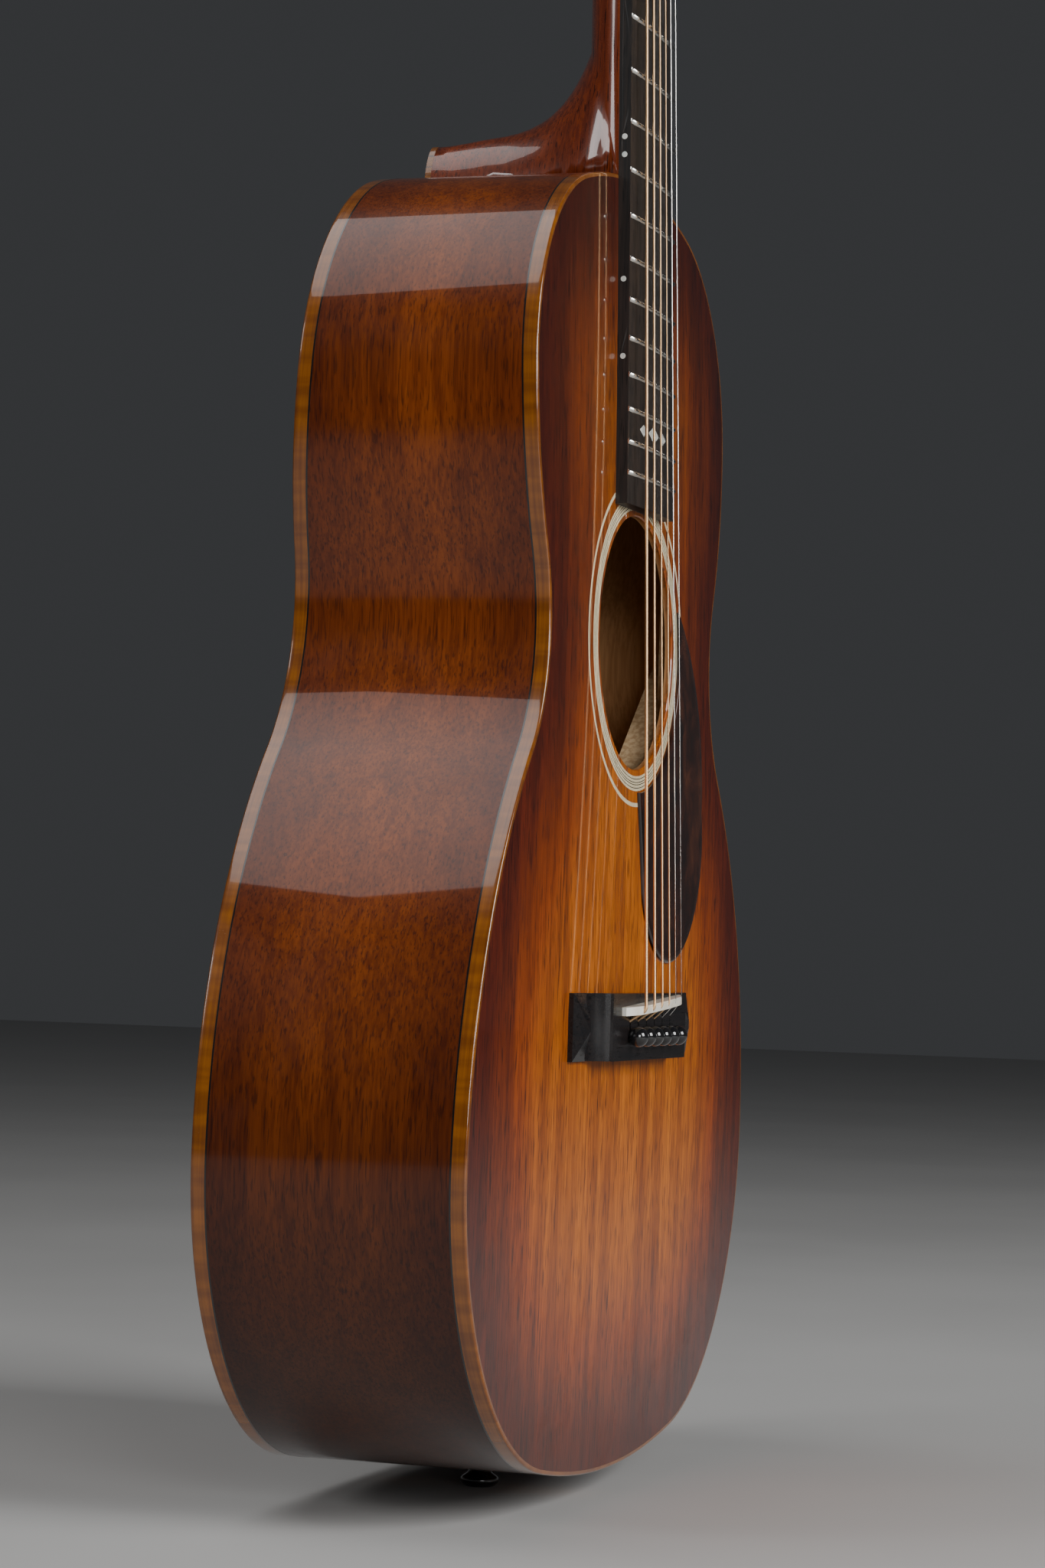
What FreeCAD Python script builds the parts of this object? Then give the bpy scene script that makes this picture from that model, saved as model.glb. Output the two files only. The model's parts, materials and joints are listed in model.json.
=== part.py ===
"""Twelve-fret flat-top acoustic guitar with a slotted headstock, as separate solids.

Millimetres.  Z runs up along the neck, X points to the treble side, and Y points to the back.
Everything is laid out from the tail edge of the soundboard (z = 0) and from the highest point
of the domed soundboard (y = 0).  The finished solids are then moved so that the origin is the
centre of the soundhole, halfway through the soundboard.

The neck has its own frame: w runs up the neck from the front of the nut, and y = 0 is the glue
line under the fingerboard.  The headstock has another: h runs up its face from the back of the
nut, and t goes from its face into the wood.
"""
import FreeCAD, Part
import math
import os

V = FreeCAD.Vector

# ---- body outline: half-widths, heights above the tail, and radii ----------------------------
BODY_LENGTH = 498.5
LOWER_HALF_WIDTH = 182.0
LOWER_HEIGHT = 122.5
WAIST_HALF_WIDTH = 108.7
WAIST_BELOW_NECK_END = 181.0
UPPER_HALF_WIDTH = 127.1
UPPER_BELOW_NECK_END = 86.7
TAIL_RADIUS = 507.3
WAIST_RADIUS = 71.9
NECK_END_RADIUS = 258.8

# ---- body plates, sides and lining -----------------------------------------------------------
TAIL_DEPTH = 104.8
NECK_DEPTH = 85.7
TOP_DOME_RADIUS = 8534.0
TOP_DOME_HEIGHT = 200.0
BACK_DOME_RADIUS = 4572.0
TOP_THICKNESS = 2.8
BACK_THICKNESS = 2.6
SIDE_THICKNESS = 2.2
BINDING_WIDTH = 1.6
BINDING_DEPTH = 6.0
LINING_WIDTH = 5.5
LINING_DEPTH = 14.0
NECK_BLOCK_LENGTH = 52.0
NECK_BLOCK_HALF_WIDTH = 36.0
TAIL_BLOCK_LENGTH = 19.0
TAIL_BLOCK_HALF_WIDTH = 38.0
GRAFT_HALF_WIDTH_TOP = 11.0
GRAFT_HALF_WIDTH_BACK = 7.0
OUTER_Y_LOW = -30.0
OUTER_Y_HIGH = 160.0

# ---- soundhole and rosette -------------------------------------------------------------------
HOLE_BOARD_GAP = 1.675
HOLE_RADIUS = 49.2
INNER_RING_GAP = 2.5
INNER_RING_WIDTH = 5.8
OUTER_RING_GAP = 4.6
OUTER_RING_WIDTH = 1.6
ROSETTE_DEPTH = 1.2

# ---- braces ----------------------------------------------------------------------------------
X_BRACE_WIDTH = 8.0
X_BRACE_DEPTH = 14.0
X_CROSS_BELOW_HOLE = 27.0
X_BRACE_ANGLE = 41.0
X_BRACE_LENGTH = 460.0
X_BRACE_SHIFT = 41.4
TONE_BRACE_WIDTH = 6.5
TONE_BRACE_DEPTH = 10.0
BRACE_TIP_DEPTH = 3.0
BRACE_TAPER_LENGTH = 45.0
HOLE_BRACE_TAPER_LENGTH = 14.0
HOLE_BRACE_GAP = 12.0
HOLE_BRACE_SPAN = 1.3
FINGER_BRACE_OUT = 30.0
FINGER_BRACE_DROP = 42.0
FINGER_BRACE_ANGLE = 24.0
FINGER_BRACE_LENGTH = 110.0
TONE_BRACE_ANGLE = 22.0
TONE_BRACE_DROPS = (98.0, 140.0)
TONE_BRACE_SHIFTS = (-6.0, -14.0)
TONE_BRACE_LENGTHS = (225.5, 215.0)
TRANSVERSE_BRACE_WIDTH = 12.0
TRANSVERSE_BRACE_DEPTH = 15.0
TRANSVERSE_ABOVE_HOLE = 20.0
BACK_BRACE_HEIGHTS = (75.0, 185.0, 300.0, 400.0)
BACK_BRACE_WIDTH = 8.0
BACK_BRACE_DEPTH = 14.0
BACK_STRIP_WIDTH = 18.0
BACK_STRIP_THICKNESS = 2.5
BRACE_CLEARANCE = 0.3

# ---- strings ---------------------------------------------------------------------------------
SCALE_LENGTH = 632.5
JOIN_FRET = 12
STRING_DIAMETERS = (1.35, 1.07, 0.81, 0.61, 0.43, 0.33)
NUT_STRING_SPREAD = 36.5
SADDLE_STRING_SPREAD = 54.5
BASS_COMPENSATION = 6.0
TREBLE_COMPENSATION = 2.6
FIRST_FRET_CLEARANCE = 0.35
BASS_ACTION = 2.4
TREBLE_ACTION = 1.9
BALL_RADIUS = 1.9
BALL_LENGTH = 3.6
WINDING_TURNS = 5.0
STRING_CLEARANCE = 0.12

# ---- bridge, saddle, pins, plate -------------------------------------------------------------
BRIDGE_LENGTH = 152.4
BRIDGE_WIDTH = 25.4
BRIDGE_EDGE_ABOVE_SCALE = 0.6
BRIDGE_THICKNESS = 9.0
PLATFORM_LENGTH = 99.6
WING_END_THICKNESS = 1.5
PYRAMID_HEIGHT = 6.2
PYRAMID_PEAK_INSET = 10.2
SCOOP_LOW_INSET = 17.0
SADDLE_LENGTH = 77.0
SADDLE_WIDTH = 3.2
SADDLE_SLOT_DEPTH = 5.5
SADDLE_END_DROP = 3.8
SADDLE_CLEARANCE = 0.05
PIN_BELOW_MIDDLE = 3.65
PIN_SHAFT_RADIUS = 2.5
PIN_TIP_RADIUS = 1.9
PIN_LENGTH = 23.5
PIN_HEAD_RADIUS = 3.9
PIN_NECK_LENGTH = 0.9
PIN_HEAD_ROUNDNESS = 0.62
STRING_RAMP_SHARE = 0.45
PIN_CLEARANCE = 0.06
NOTCH_CLEARANCE = 0.02
# The ball at a bend is this much larger than its string, so that the two cross cleanly.
BEND_SWELL = NOTCH_CLEARANCE / 2.0
PLATE_LENGTH = 96.0
PLATE_WIDTH = 34.0
PLATE_THICKNESS = 2.5

# ---- pickguard: teardrop points --------------------------------------------------------------
# Each point is how far it lies out from the soundhole's edge (or from the centre line), and its
# drop below the soundhole's centre as a share of the way down to the bridge.
GUARD_THICKNESS = 1.3
GUARD_RING_GAP = 0.6
GUARD_TIP_ANGLE = 17.0
GUARD_FOOT_ANGLE = -86.5
GUARD_OUTER_MID = (32.3, 0.0685)
GUARD_OUTER_LOW = (46.6, 0.4611)
GUARD_CORNER_MID = (39.8, 0.7610)
GUARD_BOTTOM = (8.8, 0.9090)
GUARD_CORNER_LEFT = (28.5, 0.8641)
GUARD_LEFT = (12.7, 0.7175)
GUARD_LEFT_MID = (8.6, 0.5753)

# ---- fingerboard, frets, nut -----------------------------------------------------------------
FRET_COUNT = 20
NUT_WIDTH = 46.0
TWELFTH_FRET_WIDTH = 58.7
BOARD_THICKNESS = 5.8
BOARD_RADIUS = 406.4
BOARD_OVERHANG = 12.0
FRET_WIDTH = 2.1
FRET_HEIGHT = 1.1
TANG_WIDTH = 0.55
TANG_DEPTH = 1.9
NUT_THICKNESS = 6.0
NUT_LIP = 0.6
SIDE_DOT_FRETS = (3, 5, 7, 9, 12, 15, 17)
SIDE_DOT_RADIUS = 1.1
SIDE_DOT_DEPTH = 1.5
DOUBLE_DOT_SPACING = 7.0
MOTIF_HALF_LENGTH = 7.0
MOTIF_HALF_WIDTH = 3.4
MOTIF_DEPTH = 1.2
MOTIF_SPACING = 13.0
MOTIF_SMALL_SHARE = 0.7
MOTIF_FRETS = (18, 19)

# ---- neck and heel ---------------------------------------------------------------------------
NECK_DEPTH_AT_NUT = 15.5
NECK_DEPTH_AT_HEEL = 18.6
HEEL_STATIONS = (
    (0.05, 29.0, 108.0),
    (0.13, 28.0, 82.0),
    (0.21, 26.2, 58.0),
    (0.30, 23.6, 41.0),
    (0.42, 20.4, 29.0),
    (0.58, 16.8, 22.2),
    (0.78, 13.8, 19.6),
    (1.00, 11.8, 17.6),
)
HEEL_CAP_THICKNESS = 2.4
TENON_LENGTH = 22.0
TENON_ROOT_HALF_WIDTH = 9.0
TENON_END_HALF_WIDTH = 12.5
TENON_DEPTH_SHARE = 0.75
TENON_RUN_OUT = 6.0
TENON_START = 8.0
HEEL_RUN_IN = 6.0
GLUE_CHORD = 110.0
JOINT_CLEARANCE = 0.1
ROD_WIDTH = 6.0
ROD_DEPTH = 9.0
ROD_START = 12.0
ROD_KEY_RADIUS = 4.0

# ---- headstock -------------------------------------------------------------------------------
HEAD_ANGLE = 14.0
HEAD_LENGTH = 150.0
HEAD_HALF_WIDTH = 31.0
HEAD_THICKNESS = 20.0
HEAD_SHOULDER = 13.0
HEAD_SHOULDER_START = 2.0
HEAD_ROOT = 8.0
VENEER_THICKNESS = 2.0
SLOT_INNER = 9.0
SLOT_OUTER = 23.0
SLOT_BEFORE_FIRST_ROLLER = 21.0
SLOT_AFTER_LAST_ROLLER = 17.0

# ---- tuners ----------------------------------------------------------------------------------
ROLLER_HEIGHTS = (38.0, 73.0, 108.0)
ROLLER_DEPTH = 8.0
ROLLER_RADIUS = 3.0
ROLLER_RUNNING_CLEARANCE = 0.05
ROLLER_SEAT = 6.0
STUD_RADIUS = 1.8
PLATE_SHEET = 1.2
PLATE_HALF_WIDTH = 6.5
PLATE_END_MARGIN = 8.0
GEAR_TEETH = 14
GEAR_MODULE = 0.8
GEAR_WIDTH = 3.0
GEAR_TIP_RADIUS = 6.25
GEAR_ROOT_RADIUS = 4.75
TOOTH_WIDTH_TIP = 0.55
TOOTH_WIDTH_ROOT = 1.0
WORM_CORE_RADIUS = 2.05
WORM_TIP_RADIUS = 3.5
WORM_PITCH_RADIUS = 2.9
WORM_TURNS = 4.0
THREAD_WIDTH_TIP = 0.5
THREAD_WIDTH_ROOT = 0.95
WORM_PLATE_CLEARANCE = 0.4
WORM_END_CLEARANCE = 0.2
SHAFT_RADIUS = 1.4
LUG_THICKNESS = 2.0
LUG_HALF_WIDTH = 3.2
BUTTON_RADIUS = 8.5
BUTTON_THICKNESS = 7.6
BUTTON_ROUNDING = 3.0
BUTTON_DEPTH = 30.5
BUTTON_STEM_RADIUS = 3.2
SCREW_RADIUS = 1.3
SCREW_HEAD_RADIUS = 2.6
SCREW_LENGTH = 6.5
SCREW_HEAD_HEIGHT = 1.2
SCREW_BELOW_LUG = 4.0
SCREW_BETWEEN_SHIFT = 1.0
SCREW_ABOVE_GEAR = 4.5
WINDING_PLACES = (16.4, 16.2, 17.8)

# ---- end pin ---------------------------------------------------------------------------------
END_PIN_SHAFT_RADIUS = 5.0
END_PIN_NECK_RADIUS = 4.2
END_PIN_HEAD_RADIUS = 7.5
END_PIN_SHAFT_LENGTH = 17.0
END_PIN_NECK_LENGTH = 6.0
END_PIN_HEAD_LENGTH = 5.0
END_PIN_ROUNDING = 1.8
END_PIN_SHAFT_PROUD = 0.6

# ---- worked out from the values above --------------------------------------------------------
JOIN_SHARE = 2.0 ** (-JOIN_FRET / 12.0)
LAST_FRET_SHARE = 2.0 ** (-FRET_COUNT / 12.0)
NUT_TO_JOIN = SCALE_LENGTH - SCALE_LENGTH * JOIN_SHARE
SADDLE_LINE = BODY_LENGTH + NUT_TO_JOIN - SCALE_LENGTH
BOARD_END_HEIGHT = BODY_LENGTH - SCALE_LENGTH * (JOIN_SHARE - LAST_FRET_SHARE) - BOARD_OVERHANG
HOLE_HEIGHT = BOARD_END_HEIGHT - HOLE_BOARD_GAP - HOLE_RADIUS
WAIST_HEIGHT = BODY_LENGTH - WAIST_BELOW_NECK_END
UPPER_HEIGHT = BODY_LENGTH - UPPER_BELOW_NECK_END
INNER_RING_START = HOLE_RADIUS + INNER_RING_GAP
INNER_RING_END = INNER_RING_START + INNER_RING_WIDTH
OUTER_RING_START = INNER_RING_END + OUTER_RING_GAP
OUTER_RING_END = OUTER_RING_START + OUTER_RING_WIDTH
BRIDGE_TOP_EDGE = SADDLE_LINE + BRIDGE_EDGE_ABOVE_SCALE
BRIDGE_MIDDLE = BRIDGE_TOP_EDGE - BRIDGE_WIDTH / 2.0
PIN_HEIGHT = BRIDGE_MIDDLE - PIN_BELOW_MIDDLE
PITCH = math.pi * GEAR_MODULE
GEAR_MIDDLE = HEAD_HALF_WIDTH + PLATE_SHEET + WORM_TIP_RADIUS + WORM_PLATE_CLEARANCE
WORM_OFFSET = GEAR_TEETH * GEAR_MODULE / 2.0 + WORM_PITCH_RADIUS


def top_y(x, z):
    """Height of the soundboard's outer face: a sphere."""
    return (x * x + (z - TOP_DOME_HEIGHT) ** 2) / (2.0 * TOP_DOME_RADIUS)


def back_centre():
    """Centre of the back's sphere, which passes through both ends of the rim."""
    tail = V(0, top_y(0, 0) + TAIL_DEPTH, 0)
    neck = V(0, top_y(0, BODY_LENGTH) + NECK_DEPTH, BODY_LENGTH)
    chord = neck - tail
    middle = (tail + neck) * 0.5
    sag = math.sqrt(BACK_DOME_RADIUS ** 2 - (chord.Length / 2.0) ** 2)
    normal = V(0, -chord.z, chord.y).normalize()
    return middle + normal * sag


BACK_CENTRE = back_centre()
TOP_CENTRE = V(0, TOP_DOME_RADIUS, TOP_DOME_HEIGHT)


def back_y(x, z):
    """Height of the back's outer face."""
    reach = BACK_DOME_RADIUS ** 2 - x * x - (z - BACK_CENTRE.z) ** 2
    return BACK_CENTRE.y + math.sqrt(reach)


def lean_angle():
    """Lean of the glue line: the chord of the dome under the fingerboard."""
    low = BODY_LENGTH - GLUE_CHORD
    rise = top_y(0, BODY_LENGTH) - top_y(0, low)
    return math.degrees(math.atan2(rise, BODY_LENGTH - low))


LEAN = lean_angle()


# ---- frames ----------------------------------------------------------------------------------
def neck_frame():
    """Placement of the neck's frame: w is its z axis, with w = 0 at the front of the nut."""
    turn = FreeCAD.Rotation(V(1, 0, 0), -LEAN)
    along = turn.multVec(V(0, 0, 1))
    join = V(0, top_y(0, BODY_LENGTH), BODY_LENGTH)
    return FreeCAD.Placement(join + along * NUT_TO_JOIN, turn)


NECK_FRAME = neck_frame()
HEAD_FRAME = NECK_FRAME.multiply(
    FreeCAD.Placement(V(0, -VENEER_THICKNESS, NUT_THICKNESS), FreeCAD.Rotation(V(1, 0, 0), -HEAD_ANGLE)))


def placed(shape, frame):
    """A copy of a shape, carried by a frame."""
    moved = shape.copy()
    moved.Placement = frame.multiply(moved.Placement)
    return moved


# ---- small tools -----------------------------------------------------------------------------
def box(x0, x1, y0, y1, z0, z1):
    return Part.makeBox(x1 - x0, y1 - y0, z1 - z0, V(x0, y0, z0))


def rod(radius, start, end):
    """A cylinder from one point to another."""
    return Part.makeCylinder(radius, (end - start).Length, start, end - start)


def fused(shapes):
    """One shape from several that touch or overlap."""
    return shapes[0].multiFuse(shapes[1:]).removeSplitter()


def tidy(shape):
    """A lone solid as itself, and several as a compound."""
    solids = shape.Solids
    return solids[0] if len(solids) == 1 else Part.makeCompound(solids)


def prism(points, along):
    """A polygon carried along a vector."""
    return Part.Face(Part.makePolygon(points + [points[0]])).extrude(along)


def top_ball(inset):
    """The inside of the soundboard's dome, moved into the body."""
    return Part.makeSphere(TOP_DOME_RADIUS - inset, TOP_CENTRE)


def back_ball(inset):
    """The inside of the back's dome, moved into the body."""
    return Part.makeSphere(BACK_DOME_RADIUS - inset, BACK_CENTRE)


# ---- body outline ----------------------------------------------------------------------------
def circle_through(centre, radius, start, end):
    """Arc about a centre from start to end, the short way."""
    middle = (start - centre) + (end - centre)
    return Part.Arc(start, centre + middle.normalize() * radius, end).toShape()


def along_line(first, second, distance):
    """The point at a distance from the first point towards the second."""
    return first + (second - first).normalize() * distance


def half_outline(inset):
    """Start, end, centre and radius of each arc of the treble half, from tail to neck."""
    wide, low = LOWER_HALF_WIDTH, LOWER_HEIGHT
    waist_in = LOWER_HALF_WIDTH - WAIST_HALF_WIDTH
    waist_up = WAIST_HEIGHT - LOWER_HEIGHT
    chest_out = UPPER_HALF_WIDTH - WAIST_HALF_WIDTH
    chest_up = UPPER_HEIGHT - WAIST_HEIGHT
    shoulder_up = BODY_LENGTH - UPPER_HEIGHT
    corner_r = (2 * TAIL_RADIUS * low - wide ** 2 - low ** 2) / (2 * (TAIL_RADIUS - wide))
    hip_r = (waist_in ** 2 + waist_up ** 2) / (2 * waist_in) - WAIST_RADIUS
    chest_r = (chest_out ** 2 + chest_up ** 2) / (2 * chest_out) - WAIST_RADIUS
    shoulder_r = (2 * NECK_END_RADIUS * shoulder_up - UPPER_HALF_WIDTH ** 2 - shoulder_up ** 2) / (
        2 * (NECK_END_RADIUS - UPPER_HALF_WIDTH))
    tail_c = V(0, 0, TAIL_RADIUS)
    corner_c = V(wide - corner_r, 0, low)
    hip_c = V(wide - hip_r, 0, low)
    waist_c = V(WAIST_HALF_WIDTH + WAIST_RADIUS, 0, WAIST_HEIGHT)
    chest_c = V(UPPER_HALF_WIDTH - chest_r, 0, UPPER_HEIGHT)
    shoulder_c = V(UPPER_HALF_WIDTH - shoulder_r, 0, UPPER_HEIGHT)
    neck_c = V(0, 0, BODY_LENGTH - NECK_END_RADIUS)
    knots = [
        V(0, 0, inset),
        along_line(tail_c, corner_c, TAIL_RADIUS - inset),
        V(wide - inset, 0, low),
        along_line(hip_c, waist_c, hip_r - inset),
        along_line(chest_c, waist_c, chest_r - inset),
        V(UPPER_HALF_WIDTH - inset, 0, UPPER_HEIGHT),
        along_line(neck_c, shoulder_c, NECK_END_RADIUS - inset),
        V(0, 0, BODY_LENGTH - inset),
    ]
    centres = [tail_c, corner_c, hip_c, waist_c, chest_c, shoulder_c, neck_c]
    radii = [TAIL_RADIUS - inset, corner_r - inset, hip_r - inset, WAIST_RADIUS + inset,
             chest_r - inset, shoulder_r - inset, NECK_END_RADIUS - inset]
    return list(zip(knots[:-1], knots[1:], centres, radii))


def mirrored(point):
    return V(-point.x, point.y, point.z)


def outline_prism(inset):
    """The body's plan, drawn in by an inset, as a tall solid."""
    right = []
    left = []
    for start, end, centre, radius in half_outline(inset):
        right.append(circle_through(centre, radius, start, end))
        left.append(circle_through(mirrored(centre), radius, mirrored(end), mirrored(start)))
    wire = Part.Wire(right + left[::-1])
    wire.translate(V(0, OUTER_Y_LOW, 0))
    return Part.Face(wire).extrude(V(0, OUTER_Y_HIGH - OUTER_Y_LOW, 0))


PLAN = outline_prism(0)
PLAN_IN_BINDING = outline_prism(BINDING_WIDTH)
PLAN_IN_SIDE = outline_prism(SIDE_THICKNESS)
PLAN_IN_LINING = outline_prism(SIDE_THICKNESS + LINING_WIDTH)
PLAN_FOR_BRACES = outline_prism(SIDE_THICKNESS + LINING_WIDTH + BRACE_CLEARANCE)
TOP_OUTER = top_ball(0)
TOP_INNER = top_ball(TOP_THICKNESS)
BACK_OUTER = back_ball(0)
BACK_INNER = back_ball(BACK_THICKNESS)
ENVELOPE = PLAN.common(TOP_OUTER).common(BACK_OUTER)


# ---- soundhole -------------------------------------------------------------------------------
HOLE_CENTRE = V(0, top_y(0, HOLE_HEIGHT), HOLE_HEIGHT)
HOLE_AXIS = (TOP_CENTRE - HOLE_CENTRE).normalize()
ORIGIN = HOLE_CENTRE + HOLE_AXIS * (TOP_THICKNESS / 2.0)


def hole_cylinder(radius):
    """A cylinder along the soundhole's axis, which is square to the dome."""
    reach = 40.0
    return Part.makeCylinder(radius, 2 * reach, HOLE_CENTRE - HOLE_AXIS * reach, HOLE_AXIS)


def ring(inner, outer):
    return hole_cylinder(outer).cut(hole_cylinder(inner))


# ---- strings: where each one runs ------------------------------------------------------------
def spread(total, index):
    """X of one string out of six, from the bass side."""
    return total * (index / 5.0 - 0.5)


def board_half_width(w):
    """Half the fingerboard's width at a distance down from the nut."""
    slope = (TWELFTH_FRET_WIDTH - NUT_WIDTH) / NUT_TO_JOIN
    return (NUT_WIDTH - slope * w) / 2.0


def board_face(x):
    """The fingerboard's playing face in the neck's frame."""
    return -(BOARD_THICKNESS - x * x / (2.0 * BOARD_RADIUS))


def fret_w(number):
    """Place of a fret in the neck's frame."""
    return SCALE_LENGTH * 2.0 ** (-number / 12.0) - SCALE_LENGTH


def nut_point(index):
    """Centre of a string where it leaves the front of the nut, in the neck's frame."""
    x = spread(NUT_STRING_SPREAD, index)
    radius = STRING_DIAMETERS[index] / 2.0
    return V(x, board_face(x) - FRET_HEIGHT - FIRST_FRET_CLEARANCE - radius, 0)


def saddle_point(index):
    """Centre of a string over the saddle, carried on from the nut and the action."""
    x = spread(SADDLE_STRING_SPREAD, index)
    share = index / 5.0
    action = BASS_ACTION + (TREBLE_ACTION - BASS_ACTION) * share
    compensation = BASS_COMPENSATION + (TREBLE_COMPENSATION - BASS_COMPENSATION) * share
    nut = nut_point(index)
    half = (spread(NUT_STRING_SPREAD, index) + x) / 2.0
    radius = STRING_DIAMETERS[index] / 2.0
    middle_y = board_face(half) - FRET_HEIGHT - action - radius
    length = SCALE_LENGTH + compensation
    saddle_y = nut.y + (middle_y - nut.y) * length / NUT_TO_JOIN
    return NECK_FRAME.multVec(V(x, saddle_y, -length))


SADDLE_POINTS = [saddle_point(index) for index in range(6)]


def pin_x(index):
    return spread(SADDLE_STRING_SPREAD, index)


def slot_z(index):
    """Height of a string where it comes up through the bridge, in front of its pin."""
    return PIN_HEIGHT + PIN_SHAFT_RADIUS + STRING_CLEARANCE + STRING_DIAMETERS[index] / 2.0


def ramp_end_y():
    """Height in the bridge where a string turns from its hole to its ramp."""
    return -BRIDGE_THICKNESS * (1.0 - STRING_RAMP_SHARE)


# ---- body parts ------------------------------------------------------------------------------
def tenon(clearance):
    """The neck's dovetail, which drops into the neck block from the soundboard's side."""
    root = TENON_ROOT_HALF_WIDTH + clearance
    end = TENON_END_HALF_WIDTH + clearance
    deep = BODY_LENGTH - TENON_LENGTH - clearance
    out = BODY_LENGTH + TENON_RUN_OUT
    low_y = top_y(0, BODY_LENGTH)
    depth = NECK_DEPTH * TENON_DEPTH_SHARE + clearance
    start = low_y - TENON_START
    return prism([V(-root, start, out), V(root, start, out), V(end, start, deep), V(-end, start, deep)],
                 V(0, depth + TENON_START, 0))


POCKET = tenon(JOINT_CLEARANCE)


def string_passage(index):
    """The slot in front of a pin that a string comes up through, with its ramp to the saddle."""
    half = STRING_DIAMETERS[index] / 2.0 + STRING_CLEARANCE
    x = pin_x(index)
    front = slot_z(index) + half
    ramp = SADDLE_POINTS[index] - V(x, ramp_end_y(), slot_z(index))
    rise = BRIDGE_THICKNESS
    run = rise * abs(ramp.z / ramp.y)
    start = -BRIDGE_THICKNESS * STRING_RAMP_SHARE
    inside = 30.0
    points = [V(x - half, inside, PIN_HEIGHT), V(x - half, start - rise, PIN_HEIGHT),
              V(x - half, start - rise, front + run + half), V(x - half, start, front + half),
              V(x - half, inside, front)]
    return prism(points, V(2 * half, 0, 0))


def pin_profile(clearance):
    """Half of a bridge pin's shaft as a cone, for the pin and for its hole."""
    top = -BRIDGE_THICKNESS
    return Part.makeCone(PIN_SHAFT_RADIUS + clearance, PIN_TIP_RADIUS + clearance, PIN_LENGTH,
                         V(0, top, 0), V(0, 1, 0))


def pin_holes():
    """All six pin holes and string passages, to cut from what the pins go through."""
    cutters = []
    for index in range(6):
        hole = pin_profile(PIN_CLEARANCE)
        hole.translate(V(pin_x(index), 0, PIN_HEIGHT))
        cutters.append(hole)
        cutters.append(string_passage(index))
    return Part.makeCompound(cutters)


PIN_HOLES = pin_holes()


def soundboard():
    plate = PLAN_IN_BINDING.common(TOP_OUTER).cut(TOP_INNER)
    plate = plate.cut(hole_cylinder(HOLE_RADIUS))
    plate = plate.cut(rosette())
    plate = plate.cut(POCKET)
    return tidy(plate.cut(PIN_HOLES))


def rosette():
    rings = []
    for inner, outer in ((INNER_RING_START, INNER_RING_END), (OUTER_RING_START, OUTER_RING_END)):
        band = ring(inner, outer).common(PLAN_IN_BINDING).common(TOP_OUTER)
        rings.append(tidy(band.cut(top_ball(ROSETTE_DEPTH))))
    return Part.makeCompound(rings)


def back():
    plate = PLAN_IN_BINDING.common(BACK_OUTER).cut(BACK_INNER)
    return tidy(plate)


def binding(outer, inner):
    """The strip let into one edge of the body."""
    return PLAN.cut(PLAN_IN_BINDING).common(outer).cut(inner)


def top_binding():
    return tidy(binding(TOP_OUTER, top_ball(BINDING_DEPTH)).cut(POCKET))


def back_binding():
    return tidy(binding(BACK_OUTER, back_ball(BINDING_DEPTH)))


def graft_prism():
    """The wedge at the tail, wide at the soundboard and narrow at the back."""
    low_y = top_y(0, 0)
    high_y = low_y + TAIL_DEPTH
    points = [V(-GRAFT_HALF_WIDTH_TOP, low_y, -1), V(GRAFT_HALF_WIDTH_TOP, low_y, -1),
              V(GRAFT_HALF_WIDTH_BACK, high_y, -1), V(-GRAFT_HALF_WIDTH_BACK, high_y, -1)]
    return prism(points, V(0, 0, SIDE_THICKNESS + 6.0))


def rim():
    """Both sides in one piece, before they are parted."""
    wall = PLAN.cut(PLAN_IN_SIDE).common(TOP_INNER).common(BACK_INNER)
    wall = wall.cut(binding(TOP_OUTER, top_ball(BINDING_DEPTH)))
    return wall.cut(binding(BACK_OUTER, back_ball(BINDING_DEPTH)))


RIM = rim()


def end_pin_y():
    """The end pin stands in the middle of the tail."""
    return top_y(0, 0) + TAIL_DEPTH / 2.0


def end_pin_hole():
    return rod(END_PIN_SHAFT_RADIUS, V(0, end_pin_y(), -20), V(0, end_pin_y(), 40))


def side(sign):
    """One bent side: sign is -1 for the bass and 1 for the treble."""
    reach = LOWER_HALF_WIDTH + 20.0
    low, high = sorted((0.0, sign * reach))
    half = box(low, high, OUTER_Y_LOW, OUTER_Y_HIGH, -20, BODY_LENGTH + 20)
    return tidy(RIM.common(half).cut(graft_prism()).cut(POCKET))


def end_graft():
    return tidy(RIM.common(graft_prism()).cut(end_pin_hole()))


def block_space(z0, z1, half_width):
    return PLAN_IN_SIDE.common(box(-half_width, half_width, OUTER_Y_LOW, OUTER_Y_HIGH, z0, z1))


def neck_block_space():
    return block_space(BODY_LENGTH - NECK_BLOCK_LENGTH, BODY_LENGTH, NECK_BLOCK_HALF_WIDTH)


def tail_block_space():
    return block_space(0, TAIL_BLOCK_LENGTH, TAIL_BLOCK_HALF_WIDTH)


def neck_block():
    block = neck_block_space().common(TOP_INNER).common(BACK_INNER)
    key_y = ROD_DEPTH / 2.0
    middle = NECK_FRAME.multVec(V(0, key_y, -NUT_TO_JOIN))
    inner = NECK_FRAME.multVec(V(0, key_y, -NUT_TO_JOIN - 2 * NECK_BLOCK_LENGTH))
    return tidy(block.cut(POCKET).cut(rod(ROD_KEY_RADIUS, middle, inner)))


def tail_block():
    block = tail_block_space().common(TOP_INNER).common(BACK_INNER)
    return tidy(block.cut(end_pin_hole()))


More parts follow.
